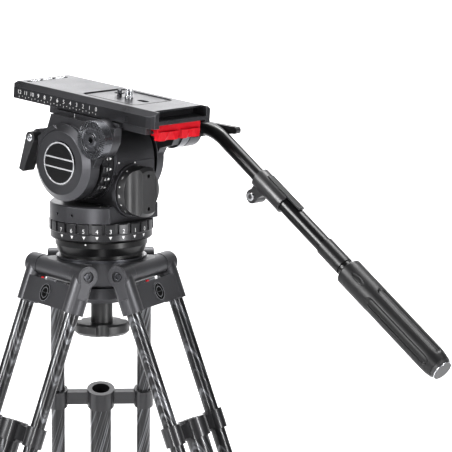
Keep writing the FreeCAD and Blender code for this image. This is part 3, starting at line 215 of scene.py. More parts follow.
def numeral(text, height):
    """A number's flat mesh, height mm tall, centred. The font's digits fill 0.7 of its size."""
    curve = bpy.data.curves.new("numeral", "FONT")
    curve.body = text
    curve.size = height / 0.7
    curve.align_x = "CENTER"
    curve.align_y = "CENTER"
    curve.extrude = 0.05
    curve.resolution_u = 3
    holder = bpy.data.objects.new("numeral", curve)
    bpy.context.scene.collection.objects.link(holder)
    mesh = bpy.data.meshes.new_from_object(holder)
    spots = np.empty(len(mesh.vertices) * 3)
    mesh.vertices.foreach_get("co", spots)
    faces = [tuple(face.vertices) for face in mesh.polygons]
    bpy.data.objects.remove(holder)
    bpy.data.curves.remove(curve)
    bpy.data.meshes.remove(mesh)
    return spots.reshape(-1, 3), faces


def marks(name, body, finish, items, surface):
    """Flat pieces at (u, v) laid on a surface map of (u, v, height), joined into one mesh."""
    spots, faces, base = [], [], 0
    for (flat, flat_faces), (u, v) in items:
        spots.append(flat + np.array([u, v, 0.0]))
        faces += [tuple(base + k for k in face) for face in flat_faces]
        base += len(flat)
    spots = np.concatenate(spots)
    return piece(name, surface(spots[:, 0], spots[:, 1], spots[:, 2]), faces, body, finish)


def stacked(*columns):
    """Arrays spread to one shape and joined as the coordinates of points."""
    return np.stack(np.broadcast_arrays(*columns), -1)


# ---- colours and nodes ----
# Heights from the leg's hinge between which a middle stage is bare tube, in metres.
MIDDLE_TUBE_TOP = -0.1955
MIDDLE_TUBE_LOW = -0.5305


def linear(colour):
    """sRGB hex text to linear red, green, blue and alpha."""
    shares = [int(colour[k:k + 2], 16) / 255 for k in (1, 3, 5)]
    return [s / 12.92 if s <= 0.04045 else ((s + 0.055) / 1.055) ** 2.4 for s in shares] + [1.0]


def add(tree, kind, settings=None, inputs=None):
    """Adds a shader node, sets its options, and links or sets its inputs."""
    node = tree.nodes.new("ShaderNode" + kind)
    for name, value in (settings or {}).items():
        setattr(node, name, value)
    for key, value in (inputs or {}).items():
        if isinstance(value, bpy.types.NodeSocket):
            tree.links.new(value, node.inputs[key])
        else:
            node.inputs[key].default_value = value
    return node


def blank(name):
    """An empty material with its surface shader and Object coordinates."""
    material = bpy.data.materials.new(name)
    material.use_nodes = True
    tree = material.node_tree
    tree.nodes.clear()
    output = add(tree, "OutputMaterial")
    shader = add(tree, "BsdfPrincipled")
    tree.links.new(shader.outputs["BSDF"], output.inputs["Surface"])
    place = add(tree, "TexCoord").outputs["Object"]
    return material, tree, shader, place


def wire(tree, shader, colour, rough, bump):
    """Links the patterns that every finish drives."""
    tree.links.new(colour, shader.inputs["Base Color"])
    tree.links.new(rough, shader.inputs["Roughness"])
    tree.links.new(bump.outputs[0], shader.inputs["Normal"])


def per_metre(size_mm):
    """Noise scale that gives blotches of about size_mm."""
    return 1000.0 / size_mm


def finish(name, dark, light, roughness, grain_mm, depth_mm, metallic=0.0, spread=0.08,
           edge=None, edge_mm=0.5, coat=0.0, drift_mm=60.0, gleam=0.5):
    """A surface with two-scale colour drift, fine grain, and edges rounded or rubbed brighter."""
    material, tree, shader, place = blank(name)
    drift = add(tree, "TexNoise", None,
                {"Vector": place, "Scale": per_metre(drift_mm), "Detail": 3.0})
    fine = add(tree, "TexNoise", None,
               {"Vector": place, "Scale": per_metre(grain_mm), "Detail": 2.0})
    both = add(tree, "Mix", {"data_type": "FLOAT"},
               {0: 0.35, 2: drift.outputs["Fac"], 3: fine.outputs["Fac"]}).outputs[0]
    colour = add(tree, "Mix", {"data_type": "RGBA"},
                 {0: both, 6: linear(dark), 7: linear(light)}).outputs[2]
    rough = add(tree, "MapRange", None,
                {"Value": both, "From Min": 0.3, "From Max": 0.7,
                 "To Min": roughness - spread, "To Max": roughness + spread}).outputs[0]
    rounded = add(tree, "Bevel", {"samples": 4}, {"Radius": edge_mm * MM})
    bump = add(tree, "Bump", None, {"Strength": 1.0, "Distance": depth_mm * MM,
                                    "Height": fine.outputs["Fac"], "Normal": rounded.outputs[0]})
    if edge:
        flat = add(tree, "NewGeometry").outputs["Normal"]
        turn = add(tree, "VectorMath", {"operation": "DOT_PRODUCT"},
                   {0: rounded.outputs[0], 1: flat})
        worn = add(tree, "MapRange", None, {"Value": turn.outputs["Value"], "From Min": 0.99,
                                            "From Max": 0.86, "To Min": 0.0, "To Max": 0.6})
        patchy = add(tree, "Math", {"operation": "MULTIPLY"}, {0: worn.outputs[0], 1: both})
        colour = add(tree, "Mix", {"data_type": "RGBA"},
                     {0: patchy.outputs[0], 6: colour, 7: linear(edge)}).outputs[2]
    wire(tree, shader, colour, rough, bump)
    shader.inputs["Metallic"].default_value = metallic
    shader.inputs["Coat Weight"].default_value = coat
    shader.inputs["Coat Roughness"].default_value = 0.12
    shader.inputs["Specular IOR Level"].default_value = gleam
    return material


def carbon_tube(leg, stage):
    """Wound carbon fibre under clear lacquer: streaks that run at 14 degrees to the tube, a real tow pattern whose
    light colour is painted sheen.

    The streaks are noise stretched to about 2 by 200 mm along the winding, near the width of a real
    tow. Its 0.01 mm fibres are too fine to draw. A middle stage's two castings are left plain."""
    material, tree, shader, place = blank("lacquered_carbon_%s_%s" % (leg, stage))
    hinge, outward, side, up = leg_axes(leg)
    lean = Matrix.Rotation(math.radians(14), 3, outward)
    along, across = lean @ up, lean @ side
    axes = Matrix((outward, across, along)).transposed()
    wound = add(tree, "Mapping", {"vector_type": "TEXTURE"},
                {"Vector": place, "Rotation": axes.to_euler(), "Scale": (0.05, 0.0018, 0.2)})
    tow_sheen_noise = add(tree, "TexNoise", None, {"Vector": wound.outputs[0], "Scale": 1.0, "Detail": 1.0,
                                        "Roughness": 0.55})
    streak = add(tree, "MapRange", {"interpolation_type": "SMOOTHSTEP"},
                 {"Value": tow_sheen_noise.outputs["Fac"], "From Min": 0.5, "From Max": 0.7,
                  "To Min": 0.0, "To Max": 1.0}).outputs[0]
    # The streaks' light colour is painted sheen: it stands in for light caught along the fibres.
    colour = add(tree, "Mix", {"data_type": "RGBA"},
                 {0: streak, 6: linear("#161618"), 7: linear("#5c5d60")}).outputs[2]
    if stage == "middle":
        local = add(tree, "Mapping", {"vector_type": "TEXTURE"},
                    {"Vector": place, "Location": hinge,
                     "Rotation": Matrix((outward, side, up)).transposed().to_euler()})
        height = add(tree, "SeparateXYZ", None, {0: local.outputs[0]}).outputs["Z"]
        upper = add(tree, "Math", {"operation": "GREATER_THAN"}, {0: height, 1: MIDDLE_TUBE_TOP})
        below = add(tree, "Math", {"operation": "LESS_THAN"}, {0: height, 1: MIDDLE_TUBE_LOW})
        casting = add(tree, "Math", {"operation": "MAXIMUM"},
                      {0: upper.outputs[0], 1: below.outputs[0]})
        tube = add(tree, "Math", {"operation": "SUBTRACT"}, {0: 1.0, 1: casting.outputs[0]})
        streak = add(tree, "Math", {"operation": "MULTIPLY", "use_clamp": True},
                     {0: streak, 1: tube.outputs[0]}).outputs[0]
        colour = add(tree, "Mix", {"data_type": "RGBA"},
                     {0: casting.outputs[0], 6: colour, 7: linear("#242426")}).outputs[2]
    rough = add(tree, "MapRange", None, {"Value": streak, "To Min": 0.4, "To Max": 0.3}).outputs[0]
    bump = add(tree, "Bump", None, {"Strength": 0.15, "Distance": 0.03 * MM, "Height": streak})
    wire(tree, shader, colour, rough, bump)
    shader.inputs["Metallic"].default_value = 0.5
    shader.inputs["Coat Weight"].default_value = 0.35
    shader.inputs["Coat Roughness"].default_value = 0.08
    return material


def satin_lines(name, dark, light, roughness, across_mm, metallic):
    """Turned metal: rings drawn by height, across_mm apart, coarser than a real tool's feed."""
    material, tree, shader, place = blank(name)
    grooves = add(tree, "Mapping", {"vector_type": "POINT"},
                  {"Vector": place, "Scale": (20.0, 20.0, per_metre(across_mm))})
    rings = add(tree, "TexNoise", None, {"Vector": grooves.outputs[0], "Scale": 1.0, "Detail": 2.0})
    colour = add(tree, "Mix", {"data_type": "RGBA"},
                 {0: rings.outputs["Fac"], 6: linear(dark), 7: linear(light)}).outputs[2]
    rough = add(tree, "MapRange", None,
                {"Value": rings.outputs["Fac"], "To Min": roughness - 0.08,
                 "To Max": roughness + 0.08}).outputs[0]
    rounded = add(tree, "Bevel", {"samples": 4}, {"Radius": 0.4 * MM})
    bump = add(tree, "Bump", None, {"Strength": 0.4, "Distance": 0.02 * MM,
                                    "Height": rings.outputs["Fac"],
                                    "Normal": rounded.outputs[0]})
    wire(tree, shader, colour, rough, bump)
    shader.inputs["Metallic"].default_value = metallic
    return material


# Bead-blasted, black anodised aluminium: satin, with a dry sheen and edges a shade lighter.
anodised = finish("black_anodised_aluminium", "#39393b", "#4a4a4d", 0.38, 0.7, 0.02, 0.8,
                  edge="#8a8b90", edge_mm=0.6)
# The camera plate's anodising is greyer and smoother, and takes a long soft highlight.
plate_grey = finish("grey_anodised_aluminium", "#353537", "#454548", 0.32, 0.7, 0.012, 0.85,
                    edge="#a0a1a5", edge_mm=0.7)
# Powder coat on the crown and leg castings: a fine orange peel, duller than the head.
powder = finish("black_powder_coat", "#343436", "#434346", 0.42, 1.0, 0.05, 0.5,
                edge="#5c5c61", edge_mm=0.8)
# Glass-filled nylon levers and knobs: matt, slightly mottled by the fibres.
nylon = finish("glass_filled_nylon", "#1c1c1d", "#29292a", 0.4, 0.8, 0.03,
               edge="#4a4a4e", edge_mm=0.8)
# Dials: smoother nylon, so the white numbers stand out.
dial = finish("dial_nylon", "#252526", "#343436", 0.34, 0.7, 0.015, 0.5, edge="#55555a")
# Black oxide on screws: dark steel with a slight gleam.
oxide = finish("black_oxide_steel", "#3a3a3d", "#545559", 0.28, 0.5, 0.01, 0.85,
               edge="#b4b5b8", edge_mm=0.3)
# Bare stainless steel: the brightest points, on screws, the grip's ring and the spare screws.
steel = satin_lines("turned_steel", "#a6a7aa", "#d2d3d5", 0.26, 0.5, 1.0)
# The bowl's rim is anodised dark on top of turned rings, bright only where it grazes the light.
rim_metal = satin_lines("turned_dark_rim", "#3a3a3d", "#5a5b5f", 0.3, 0.4, 0.9)
# Acetal paddle: a saturated, slightly waxy red.
red = finish("red_acetal", "#8a0010", "#a60016", 0.45, 0.9, 0.004, edge="#c80f18", gleam=0.2)
# Moulded rubber of the grip and sleeve, closed and smooth, with a broad sheen.
rubber = finish("moulded_grip_rubber", "#0a0a0b", "#121213", 0.4, 0.9, 0.02,
                edge="#353537", gleam=0.38)
# Harder, dusty rubber under the feet: no sheen at all.
foot_rubber = finish("foot_rubber", "#161617", "#222223", 0.66, 1.2, 0.06, edge="#38383a")
# Black lacquer on the bar: a long mirror highlight.
lacquer = finish("black_lacquered_tube", "#070708", "#101011", 0.34, 1.0, 0.002, coat=0.08, gleam=0.3)
# Gloss black enamel in the round cap: near mirror, so the silver lines stand out.
gloss = finish("gloss_black_cap", "#040405", "#08080a", 0.1, 1.0, 0.001, coat=0.8)
# The level's vial: dark green-black glass with a sharp highlight.
glass = finish("dark_level_vial", "#0e0f0e", "#1a1c19", 0.06, 1.0, 0.0, coat=1.0)
# Printed marks: a dull white ink, a little uneven.
white_ink = finish("white_marking_ink", "#aeaeae", "#d0d0d0", 0.55, 0.3, 0.004)
# Inlaid metal of the cap's badge: brighter and smoother than the ink.
silver_ink = finish("silver_badge_metal", "#b4b5b8", "#e2e3e5", 0.25, 0.4, 0.003, 0.8)
# Grey paint on raised lines of the leg emblems, seen only against the dark field.
grey_ink = finish("grey_relief_paint", "#4e4f52", "#66676a", 0.45, 0.5, 0.01, 0.2)
# Toothed rosettes: cut metal, with tooth edges worn bright.
rosette_metal = finish("machined_rosette", "#4a4b4e", "#66676b", 0.26, 0.5, 0.01, 0.85,
                       edge="#c8c9cc", edge_mm=0.25)
# Black of the emblem fields, and painted shade in the line round the plate's panel: nearly no light comes back.
emblem_black_and_painted_shade = finish("emblem_black_and_painted_shade_finish", "#020202", "#060606", 0.8, 1.0, 0.01, gleam=0.08)

FINISH = {"black_anodised": anodised, "plate_anodised": plate_grey, "crown_paint": powder,
          "bright_ring": rim_metal, "steel": steel, "moulded_black": nylon, "dial_black": dial,
          "badge": gloss, "release_red": red, "grip_rubber": rubber, "black_screws": oxide,
          "foot_rubber": foot_rubber, "level_glass": glass}
for part in frame["record"]["subparts"]:
    node = part["node"]
    mesh = NODES[node].data
    mesh.materials.clear()
    if part["material_slot"] == "carbon_tube":
        leg, stage = node.split("_")[1:3]
        mesh.materials.append(carbon_tube(leg, stage))
    elif node == "handle_rosettes":
        mesh.materials.append(rosette_metal)
    elif node in ("bar_tube", "bar_arm", "ball_base"):
        mesh.materials.append(lacquer)
    else:
        mesh.materials.append(FINISH[part["material_slot"]])


# ---- printed marks ----
def on_plate_side(u, v, w):
    """Across the plate's near side: u to the operator, v up, w outward."""
    return on_tilt(stacked(u, PLATE_SIDE_Y - w, v))


def on_seat_side(u, v, w):
    """Across the seat's near side, as on the plate's."""
    return on_tilt(stacked(u, SEAT_SIDE_Y - w, v))


def on_pan_ring(radius):
    """Round an upright ring: u along the rim from straight ahead, v up, w outward."""
    def wrapped(u, v, w):
        a = u / radius
        return on_head(stacked((radius + w) * np.cos(a), (radius + w) * np.sin(a), v))
    return wrapped


def on_tilt_dial(u, v, w):
    """Round the tilt dial: u along its axis, v round it, w outward."""
    a = v / TILT_DIAL_RADIUS
    r = TILT_DIAL_RADIUS + w
    return on_head(stacked(r * np.cos(a), u, TILT_AXIS_UP + r * np.sin(a)))


def on_knob_flank(u, v, w):
    """Round the counterbalance knob: u along its axis, v round it, w outward."""
    a = math.pi - v / KNOB_RADIUS
    r = KNOB_RADIUS + w
    return on_head(stacked(u, r * np.cos(a), KNOB_AXIS_UP + r * np.sin(a)))


def on_body_face(u, v, w):
    """On the housing's operator side: u to the far side, v up, w outward."""
    return on_head(stacked(BODY_FACE_X + w, u, v))


def on_cap(u, v, w):
    """On the round cap: u to the operator and v up from the tilt axis, w outward."""
    return on_tilt(stacked(u, CAP_FACE_Y - w, TILT_AXIS_UP + v))


def plate_marks():
    """The plate's 0 to 12 scale at 10 mm steps, standing at 3, and the seat's index line."""
    scale = []
    for number in range(13):
        x = INDEX_X + (3 - number) * 10.0
        scale.append((numeral(str(number), 4.4), (x, 170.6)))
        scale.append((stroke(-0.3, 0.3, -0.8, 0.9), (x, 165.4)))
        if number:
            scale.append((dot(0.5), (x + 5.0, 166.6)))
    marks("plate_scale", "plate", white_ink, scale, on_plate_side)
    marks("seat_index", "tilt", white_ink, [(stroke(-0.35, 0.35, -2.1, 2.1), (INDEX_X, 159.2))],
          on_seat_side)


def pan_marks():
    """Numbers 0 to 7 and arrows at 15 degree steps on the pan dial, with 5 at the index dot."""
    index_angle = -64.7
    arrow = prism([(0, -1.9), (1.8, 1.6), (-1.8, 1.6)])
    numbers, arrows = [], []
    for number in range(8):
        angle = math.radians(index_angle + 15.0 * (5 - number))
        numbers.append((numeral(str(number), 4.6), (angle * PAN_NUMBER_RADIUS, 33.0)))
        arrows.append((arrow, (angle * PAN_ARROW_RADIUS, 26.0)))
    marks("pan_dial_numbers", "pan_drag", white_ink, numbers, on_pan_ring(PAN_NUMBER_RADIUS))
    marks("pan_dial_arrows", "pan_drag", white_ink, arrows, on_pan_ring(PAN_ARROW_RADIUS))
    index = (dot(1.0), (math.radians(index_angle) * PAN_INDEX_RADIUS, 17.6))
    marks("pan_index", "head_base", white_ink, [index], on_pan_ring(PAN_INDEX_RADIUS))


def tilt_marks():
    """Numbers 0 to 7 and arrows at 15 degree steps on the tilt dial, and two dots on the body."""
    arrow = prism([(-1.7, -1.7), (1.8, 0), (-1.7, 1.7)])
    items = []
    for number in range(8):
        round_dial = math.radians(7.0 - 15.0 * (number - 4)) * TILT_DIAL_RADIUS
        items.append((numeral(str(number), 3.8), (-33.8, round_dial)))
        items.append((arrow, (-28.4, round_dial)))
    marks("tilt_dial_marks", "tilt_drag", white_ink, items, on_tilt_dial)
    marks("body_index_dots", "pan", white_ink,
          [(dot(1.1), (-19.1, 107.6)), (dot(1.1), (5.6, 105.5))], on_body_face)


def counterbalance_marks():
    """Numbers 9 down to 2 round the counterbalance knob, 21.5 degrees apart, dots between."""
    items = []
    for k in range(16):
        angle = math.radians(57.5 - 21.5 * k)
        item = numeral(str(9 - k // 2), 3.6) if k % 2 else dot(1.0)
        items.append((item, (55.2, angle * KNOB_RADIUS)))
    marks("counterbalance_marks", "counterbalance", white_ink, items, on_knob_flank)


def panel_groove():
    """Painted shade round the plate's rubber panel, where its recessed edge falls dark: a rounded rectangle's
    outline as a flat black band.
    """
    corner = 7.0
    panel = ((76.0, 30.0), (-4.0, 30.0), (-4.0, -30.0), (76.0, -30.0))
    middle = 36.0
    lines = []
    for grow in (0.1, 1.3):
        corners = []
        for quarter, (x, y) in enumerate(panel):
            centre = (x - math.copysign(corner, x - middle), y - math.copysign(corner, y))
            a = np.linspace(0, np.pi / 2, 9) + quarter * np.pi / 2
            corners.append(np.stack((centre[0] + (corner + grow) * np.cos(a),
                                     centre[1] + (corner + grow) * np.sin(a)), -1))
        lines.append(np.concatenate(corners))
    n = len(lines[0])
    sunk = -0.1
    rows = [np.column_stack((lines[k], np.full(n, PLATE_TOP + rise)))
            for k, rise in ((0, sunk), (1, sunk), (1, PRINT_THICK), (0, PRINT_THICK))]
    # The flat black band is painted shade along the panel's recessed edge.
    piece("plate_panel_painted_shade_line", on_tilt(np.concatenate(rows)), loop_faces(n), "plate",
          emblem_black_and_painted_shade)


def cheek_badge():
    """A thin silver ring and two plain chords on the gloss cap."""
    ring = band(23.4, 1.6, thick=0.15)
    half_chord = math.sqrt(22.2 ** 2 - 5.9 ** 2)
    bar = stroke(-half_chord, half_chord, -0.9, 0.9)
    items = [(ring, (0, 0)), (bar, (0, 5.4)), (bar, (0, -5.4))]
    marks("cheek_badge_lines", "tilt", silver_ink, items, on_cap)


def leg_emblems():
    """Two rings, a bar and two short strokes on each bracket's round boss, on a black disc."""
    face, height, relief = 11.3, -28.75, 0.25
    for leg in LEGS:
        place = on_leg(leg)

        def on_boss(u, v, w, place=place):
            return place(stacked(face + w, u, v + height))

        shapes = (band(10.0, 0.9, 48, relief), band(6.2, 0.8, 36, relief),
                  stroke(-9.2, 9.2, -0.5, 0.5), stroke(-0.5, 0.5, -9.2, -5.8),
                  stroke(-0.5, 0.5, 5.8, 9.2))
        marks("leg_" + leg + "_emblem", "leg_" + leg, grey_ink,
              [(shape, (0, 0)) for shape in shapes], on_boss)
        marks("leg_" + leg + "_emblem_field", "leg_" + leg, emblem_black_and_painted_shade, [(dot(10.6), (0, 0))],
              on_boss)


# ---- turned and moulded details ----
def laid(spots, origin, along, across):
    """Points drawn about Z, in mm, to a place whose Z is along and X is across (unit vectors)."""
    along, across = np.array(along), np.array(across)
    third = np.cross(along, across)
    return np.asarray(spots) @ np.array([across, third, along]) * MM + np.array(origin)


def hexagon(steps):
    """A six-sided outline round an upright axis: 1 / cos of the angle from the nearest flat."""
    return 1.0 / np.cos(around(steps) % (np.pi / 3) - np.pi / 6)


def tilt_up():
    """The plate's upward direction at rest."""
    return np.array([math.sin(REST), 0.0, math.cos(REST)])


def tilt_forward():
    """The plate's direction to the operator at rest."""
    return np.array([math.cos(REST), 0.0, -math.sin(REST)])


def camera_screw():
    """3/8 inch screw: the radius falls as a 60 degree sawtooth of (height / pitch - turn).

    Below the plate it carries on as a relieved neck and a flat head."""
    pitch, outer, length, steps = 25.4 / 16, 4.76, 9.5, 40
    depth, chamfer, run_in = 1.0, 1.1, 0.6
    rise = np.linspace(0.0, length, 73)
    phase = (rise[:, None] / pitch - np.arange(steps)[None] / steps) % 1.0
    groove = depth * (1 - np.abs(2 * phase - 1))
    tip = np.clip(length - rise, 0, 1)[:, None]
    thread = outer - 0.02 - groove * np.clip(rise / run_in, 0, 1)[:, None]
    thread = np.minimum(thread, outer - chamfer + chamfer * tip)
    low = np.repeat(np.array([8.2, 8.98, 8.98, 8.2, 4.14, 4.14])[:, None], steps, axis=1)
    heights = np.concatenate(([-13.0, -12.2, -6.3, -5.4, -5.38, -0.02], rise))
    spots, faces = turned(heights, np.concatenate((low, thread)), steps)
    spots = laid(spots, on_tilt([38.0, 0, PLATE_TOP]), tilt_up(), tilt_forward())
    made = piece("camera_screw_threaded", spots, faces, "screw", steel, True)
    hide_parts("camera_screw")


def plate_hardware():
    """Locating pin, and three spare screws in the pocket, in place of plain rods.

    The pin carries a wheel of radius 4.3 + 1.5 cos(6 angle), six soft points. A spare's radius
    falls as a sawtooth of (height / pitch - turn), up to its plain head."""
    steps = 60
    heights = np.array([-6.0, 0.0, 1.9, 2.0, 3.1, 3.2, 5.4, 5.9])
    star = 4.3 + 1.5 * np.cos(6 * around(steps))
    plain = np.full(steps, 2.5)
    shape = np.stack([plain, plain, plain, star, star, plain, plain, plain * 0.7])
    spots, faces = turned(heights, shape, steps)
    spots = laid(spots, on_tilt([23.5, 0, PLATE_TOP]), tilt_up(), tilt_forward())
    pin = piece("plate_locating_pin", spots, faces, "plate", oxide, True)
    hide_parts("plate_fittings")
    pitch, outer, depth, steps = 1.27, 1.62, 0.42, 30
    rise = np.linspace(-7.0, 4.4, 80)
    phase = (rise[:, None] / pitch - np.arange(steps)[None] / steps) % 1.0
    thread = outer - depth * (1 - np.abs(2 * phase - 1))
    head = np.repeat(np.array([1.85, 1.88, 1.88, 1.6])[:, None], steps, axis=1)
    heights = np.concatenate((rise, [4.41, 4.6, 6.7, 7.0]))
    for k, y in enumerate((-22.0, -3.0, 16.0)):
        spots, faces = turned(heights, np.concatenate((thread, head)), steps)
        spots = laid(spots, on_tilt([-86.5, y, 180.3]), (0, 1, 0), tilt_up())
        piece("plate_spare_screw_%d" % k, spots, faces, "plate", steel, True)


def socket_heads():
    """Hex socket screws: a domed rim, and a six-sided well 2 mm deep in the middle."""
    steps, from_middle = 48, 56.4
    round_rings = np.repeat(np.array([4.5, 4.6, 4.1])[:, None], steps, axis=1)
    well = np.array([2.3, 2.2, 2.1])[:, None] * hexagon(steps)
    heights = np.array([-1.0, 1.9, 2.35, 2.4, 2.2, 0.4])
    for leg in LEGS:
        _, _, side, up = leg_axes(leg)
        for turn, word in ((1, "a"), (-1, "b")):
            spots, faces = turned(heights, np.concatenate((round_rings, well)), steps)
            spots = laid(spots, on_leg(leg)([0, turn * from_middle, 0]), side * turn, up)
            piece("hinge_screw_%s_%s" % (leg, word), spots, faces, "leg_" + leg,
                  oxide, True)


def small_screws():
    """The bright ring screw of the tilt brake and the clamp screw of the pan bar's collar."""
    spots, faces = turned([-0.1, 0.9, 1.1, 1.1, 0.5], [4.1, 4.1, 3.7, 1.7, 1.5], 40)
    spots = laid(spots, on_tilt([-49.0, -62.5, 127.4]), (0, -1, 0), tilt_up())
    piece("tilt_brake_screw", spots, faces, "tilt_brake", steel, True)
    steps = 48
    round_rings = np.repeat(np.array([4.8, 4.8, 4.3])[:, None], steps, axis=1)
    well = np.array([2.3, 2.1])[:, None] * hexagon(steps)
    spots, faces = turned([0.0, 2.4, 2.8, 2.85, 0.8], np.concatenate((round_rings, well)), steps)
    spots = laid(spots, bar_spot(92.0, -20.2, -7.5), (0, -1, 0), BAR_HIGH)
    piece("bar_collar_screw", spots, faces, "bar_grip_end", steel, True)


def bar_spot(t, high=0.0, side=0.0):
    """A point t mm past the bar's bend, high mm above its axis and side mm to the far side."""
    return BAR_START + (np.array(BAR_LINE) * t + np.array(BAR_HIGH) * high
                        + np.array([0, side, 0])) * MM


def fluted_grip():
    """Rubber grip: radius 15.5 mm, less five long flutes 1.7 mm deep, and a taper to the cap.

    A flute is a smooth trough, deepest where its distance from the flute's middle line is 0 and
    gone at 5.2 mm, so it has round ends. A flat oval for the thumb is taken off as well."""
    steps, length, radius, bore = 180, 154.0, 15.5, 9.45
    mouth_radius, mouth_depth = 14.6, 1.3
    t = np.concatenate(([0.0, 0.35, 0.9, mouth_depth], np.linspace(3, 151, 140),
                        [152.5, 153.6, length]))
    mouth = np.sin(np.clip(t / mouth_depth, 0, 1) * np.pi / 2)
    outside = np.where(t < mouth_depth, mouth_radius + (radius - mouth_radius) * mouth, radius)
    outside = outside - 2.0 * np.clip((t - 139.0) / 15.0, 0, 1) ** 1.5

    flute_angle, flute_depth, half, flute_start, flute_end = 64.0, 1.7, 5.2, 45.0, 146.0
    angle = np.degrees(around(steps))
    away = np.abs((angle - flute_angle + 36.0) % 72.0 - 36.0)
    across = np.radians(away)[None, :] * radius
    past = np.maximum(flute_start + half - t, t - (flute_end - half))
    reach = np.hypot(across, np.maximum(past, 0)[:, None])
    share = np.clip((half - reach) / flute_depth, 0, 1)
    trough = flute_depth * (3 * share ** 2 - 2 * share ** 3)

    thumb_t, thumb_half, thumb_angle, thumb_spread = 22.0, 8.5, -40.0, 9.5
    off = (angle[None, :] - thumb_angle + 180) % 360 - 180
    thumb = np.hypot((t[:, None] - thumb_t) / thumb_half, off / thumb_spread)
    trough = trough + np.clip(1.15 - thumb, 0, 0.3) / 0.3

    ends = np.full((1, steps), bore)
    shape = np.concatenate((ends, outside[:, None] - trough, ends))
    spots, faces = turned(np.concatenate(([0.0], t, [length])), shape, steps)
    spots = laid(spots, bar_spot(240.0), BAR_LINE, (0, -1, 0))
    made = piece("bar_grip_fluted", spots, faces, "bar_grip_end", rubber, True)
    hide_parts("bar_grip")


def grip_trim():
    """A thin bright ring round the end of the grip's cap."""
    heights = [-0.6, -0.5, 0.3, 0.35, 0.05]
    spots, faces = turned(heights, [11.4, 11.85, 11.6, 10.6, 10.4], 64)
    spots = laid(spots, bar_spot(398.6), BAR_LINE, (0, -1, 0))
    piece("bar_grip_ring", spots, faces, "bar_grip_end", steel, True)


def tension_slides():
    """A thin slide along each bracket's upper edge, red at one end and bright at the other."""
    bits = (("bar", -15.0, 11.0, 0.5, grey_ink), ("red_end", -18.0, -13.0, 1.1, red),
            ("bright_end", 10.8, 12.8, 1.0, steel))
    chamfer = 0.4
    for leg in LEGS:
        _, _, side, up = leg_axes(leg)
        for word, y0, y1, radius, material in bits:
            heights = [y0, y0 + chamfer, y1 - chamfer, y1]
            spots, faces = turned(heights, np.array([0.6, 1.0, 1.0, 0.6]) * radius, 20)
            spots = laid(spots, on_leg(leg)([9.6, 0, -13.6]), side, up)
            piece("leg_%s_slide_%s" % (leg, word), spots, faces, "leg_" + leg,
                  material, True)


plate_marks()
pan_marks()
tilt_marks()
counterbalance_marks()
panel_groove()
cheek_badge()
leg_emblems()
camera_screw()
plate_hardware()
socket_heads()
small_screws()
fluted_grip()
grip_trim()
tension_slides()


# ---- camera, light and floor ----
def sweep():
    """Floor and wall in one sheet: straight, a quarter circle of radius 2 m, then straight up."""
    bend, start, front, high, half_width = 2.0, 3.0, -6.0, 8.0, 7.0
    across = np.linspace(-half_width, half_width, 3)
    arc = np.linspace(0, math.pi / 2, 24)
    run = np.concatenate(([front], start + bend * np.sin(arc), [start + bend]))
    rise = np.concatenate(([0.0], bend - bend * np.cos(arc), [high]))
    spots = stacked(across[:, None], run[None], rise[None]).reshape(-1, 3)
    spots = spots @ np.array(Matrix.Rotation(math.radians(VIEW_AZIMUTH), 3, "Z")).T
    n = len(run)
    faces = [(i * n + j, (i + 1) * n + j, (i + 1) * n + j + 1, i * n + j + 1)
             for i in range(len(across) - 1) for j in range(n - 1)]
    mesh = bpy.data.meshes.new("floor")
    mesh.from_pydata(spots.tolist(), [], faces)
    mesh.shade_smooth()
    mesh.materials.append(pale_paper())
    floor = bpy.data.objects.new("floor", mesh)
    bpy.context.scene.collection.objects.link(floor)


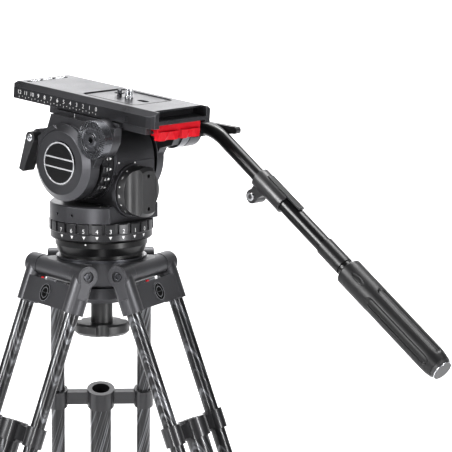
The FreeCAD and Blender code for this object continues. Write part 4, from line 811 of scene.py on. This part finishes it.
def pale_paper():
    """Matt white paper, a little uneven, and clear from behind, so a view from there sees in."""
    material, tree, shader, place = blank("pale_paper")
    tone = add(tree, "TexNoise", None, {"Vector": place, "Scale": 3.0})
    colour = add(tree, "Mix", {"data_type": "RGBA"},
                 {0: tone.outputs["Fac"], 6: linear("#f4f4f5"), 7: linear("#f9f9fa")})
    tree.links.new(colour.outputs[2], shader.inputs["Base Color"])
    shader.inputs["Roughness"].default_value = 0.9
    behind = add(tree, "NewGeometry").outputs["Backfacing"]
    clear = add(tree, "BsdfTransparent")
    both = add(tree, "MixShader", None, {0: behind, 1: shader.outputs[0], 2: clear.outputs[0]})
    tree.links.new(both.outputs[0], tree.nodes["Material Output"].inputs["Surface"])
    return material


def soft_box(name, place, aim, size, power):
    """A rectangular lamp at a place, turned to its aim, with its size in m and power in W."""
    lamp = bpy.data.lights.new(name, "AREA")
    lamp.shape = "RECTANGLE"
    lamp.size, lamp.size_y = size
    lamp.energy = power
    holder = bpy.data.objects.new(name, lamp)
    holder.location = place
    holder.rotation_euler = (Vector(aim) - Vector(place)).to_track_quat("-Z", "Y").to_euler()
    bpy.context.scene.collection.objects.link(holder)


def studio():
    """A pale sweep behind and under the object, five soft boxes and a dim even sky."""
    sweep()
    head = (0, 0, RIM + 0.05)
    soft_box("key", (-0.7, -2.4, 1.9), head, (0.9, 1.2), 120)
    soft_box("top", (0.2, 0.9, 2.7), head, (1.6, 0.9), 60)
    soft_box("side", (2.7, 0.2, 1.15), head, (0.5, 1.9), 95)
    soft_box("strip", (1.3, -2.5, 0.9), head, (0.25, 1.2), 40)
    soft_box("sweep", (-1.6, 1.5, 4.6), (-3.0, 3.2, 0.6), (3.0, 2.0), 330)
    world = bpy.data.worlds.new("studio")
    world.use_nodes = True
    sky = world.node_tree.nodes["Background"]
    sky.inputs["Color"].default_value = (1, 1, 1, 1)
    sky.inputs["Strength"].default_value = 0.06
    bpy.context.scene.world = world
    bpy.context.scene.view_settings.view_transform = "Standard"
    bpy.context.scene.view_settings.gamma = 0.86


def camera():
    """A long lens, a little above the plate and turned to the operator's near side."""
    azimuth, elevation = math.radians(VIEW_AZIMUTH), math.radians(VIEW_ELEVATION)
    look = Vector((-math.sin(azimuth) * math.cos(elevation),
                   math.cos(azimuth) * math.cos(elevation), -math.sin(elevation)))
    data = bpy.data.cameras.new("camera")
    data.sensor_width = 36.0
    data.lens = 278.76
    data.clip_end = 50
    holder = bpy.data.objects.new("camera", data)
    holder.location = Vector((2.70649, -2.69090, 0.63838 + RIM))
    holder.rotation_euler = look.to_track_quat("-Z", "Y").to_euler()
    bpy.context.scene.collection.objects.link(holder)
    bpy.context.scene.camera = holder


studio()
camera()
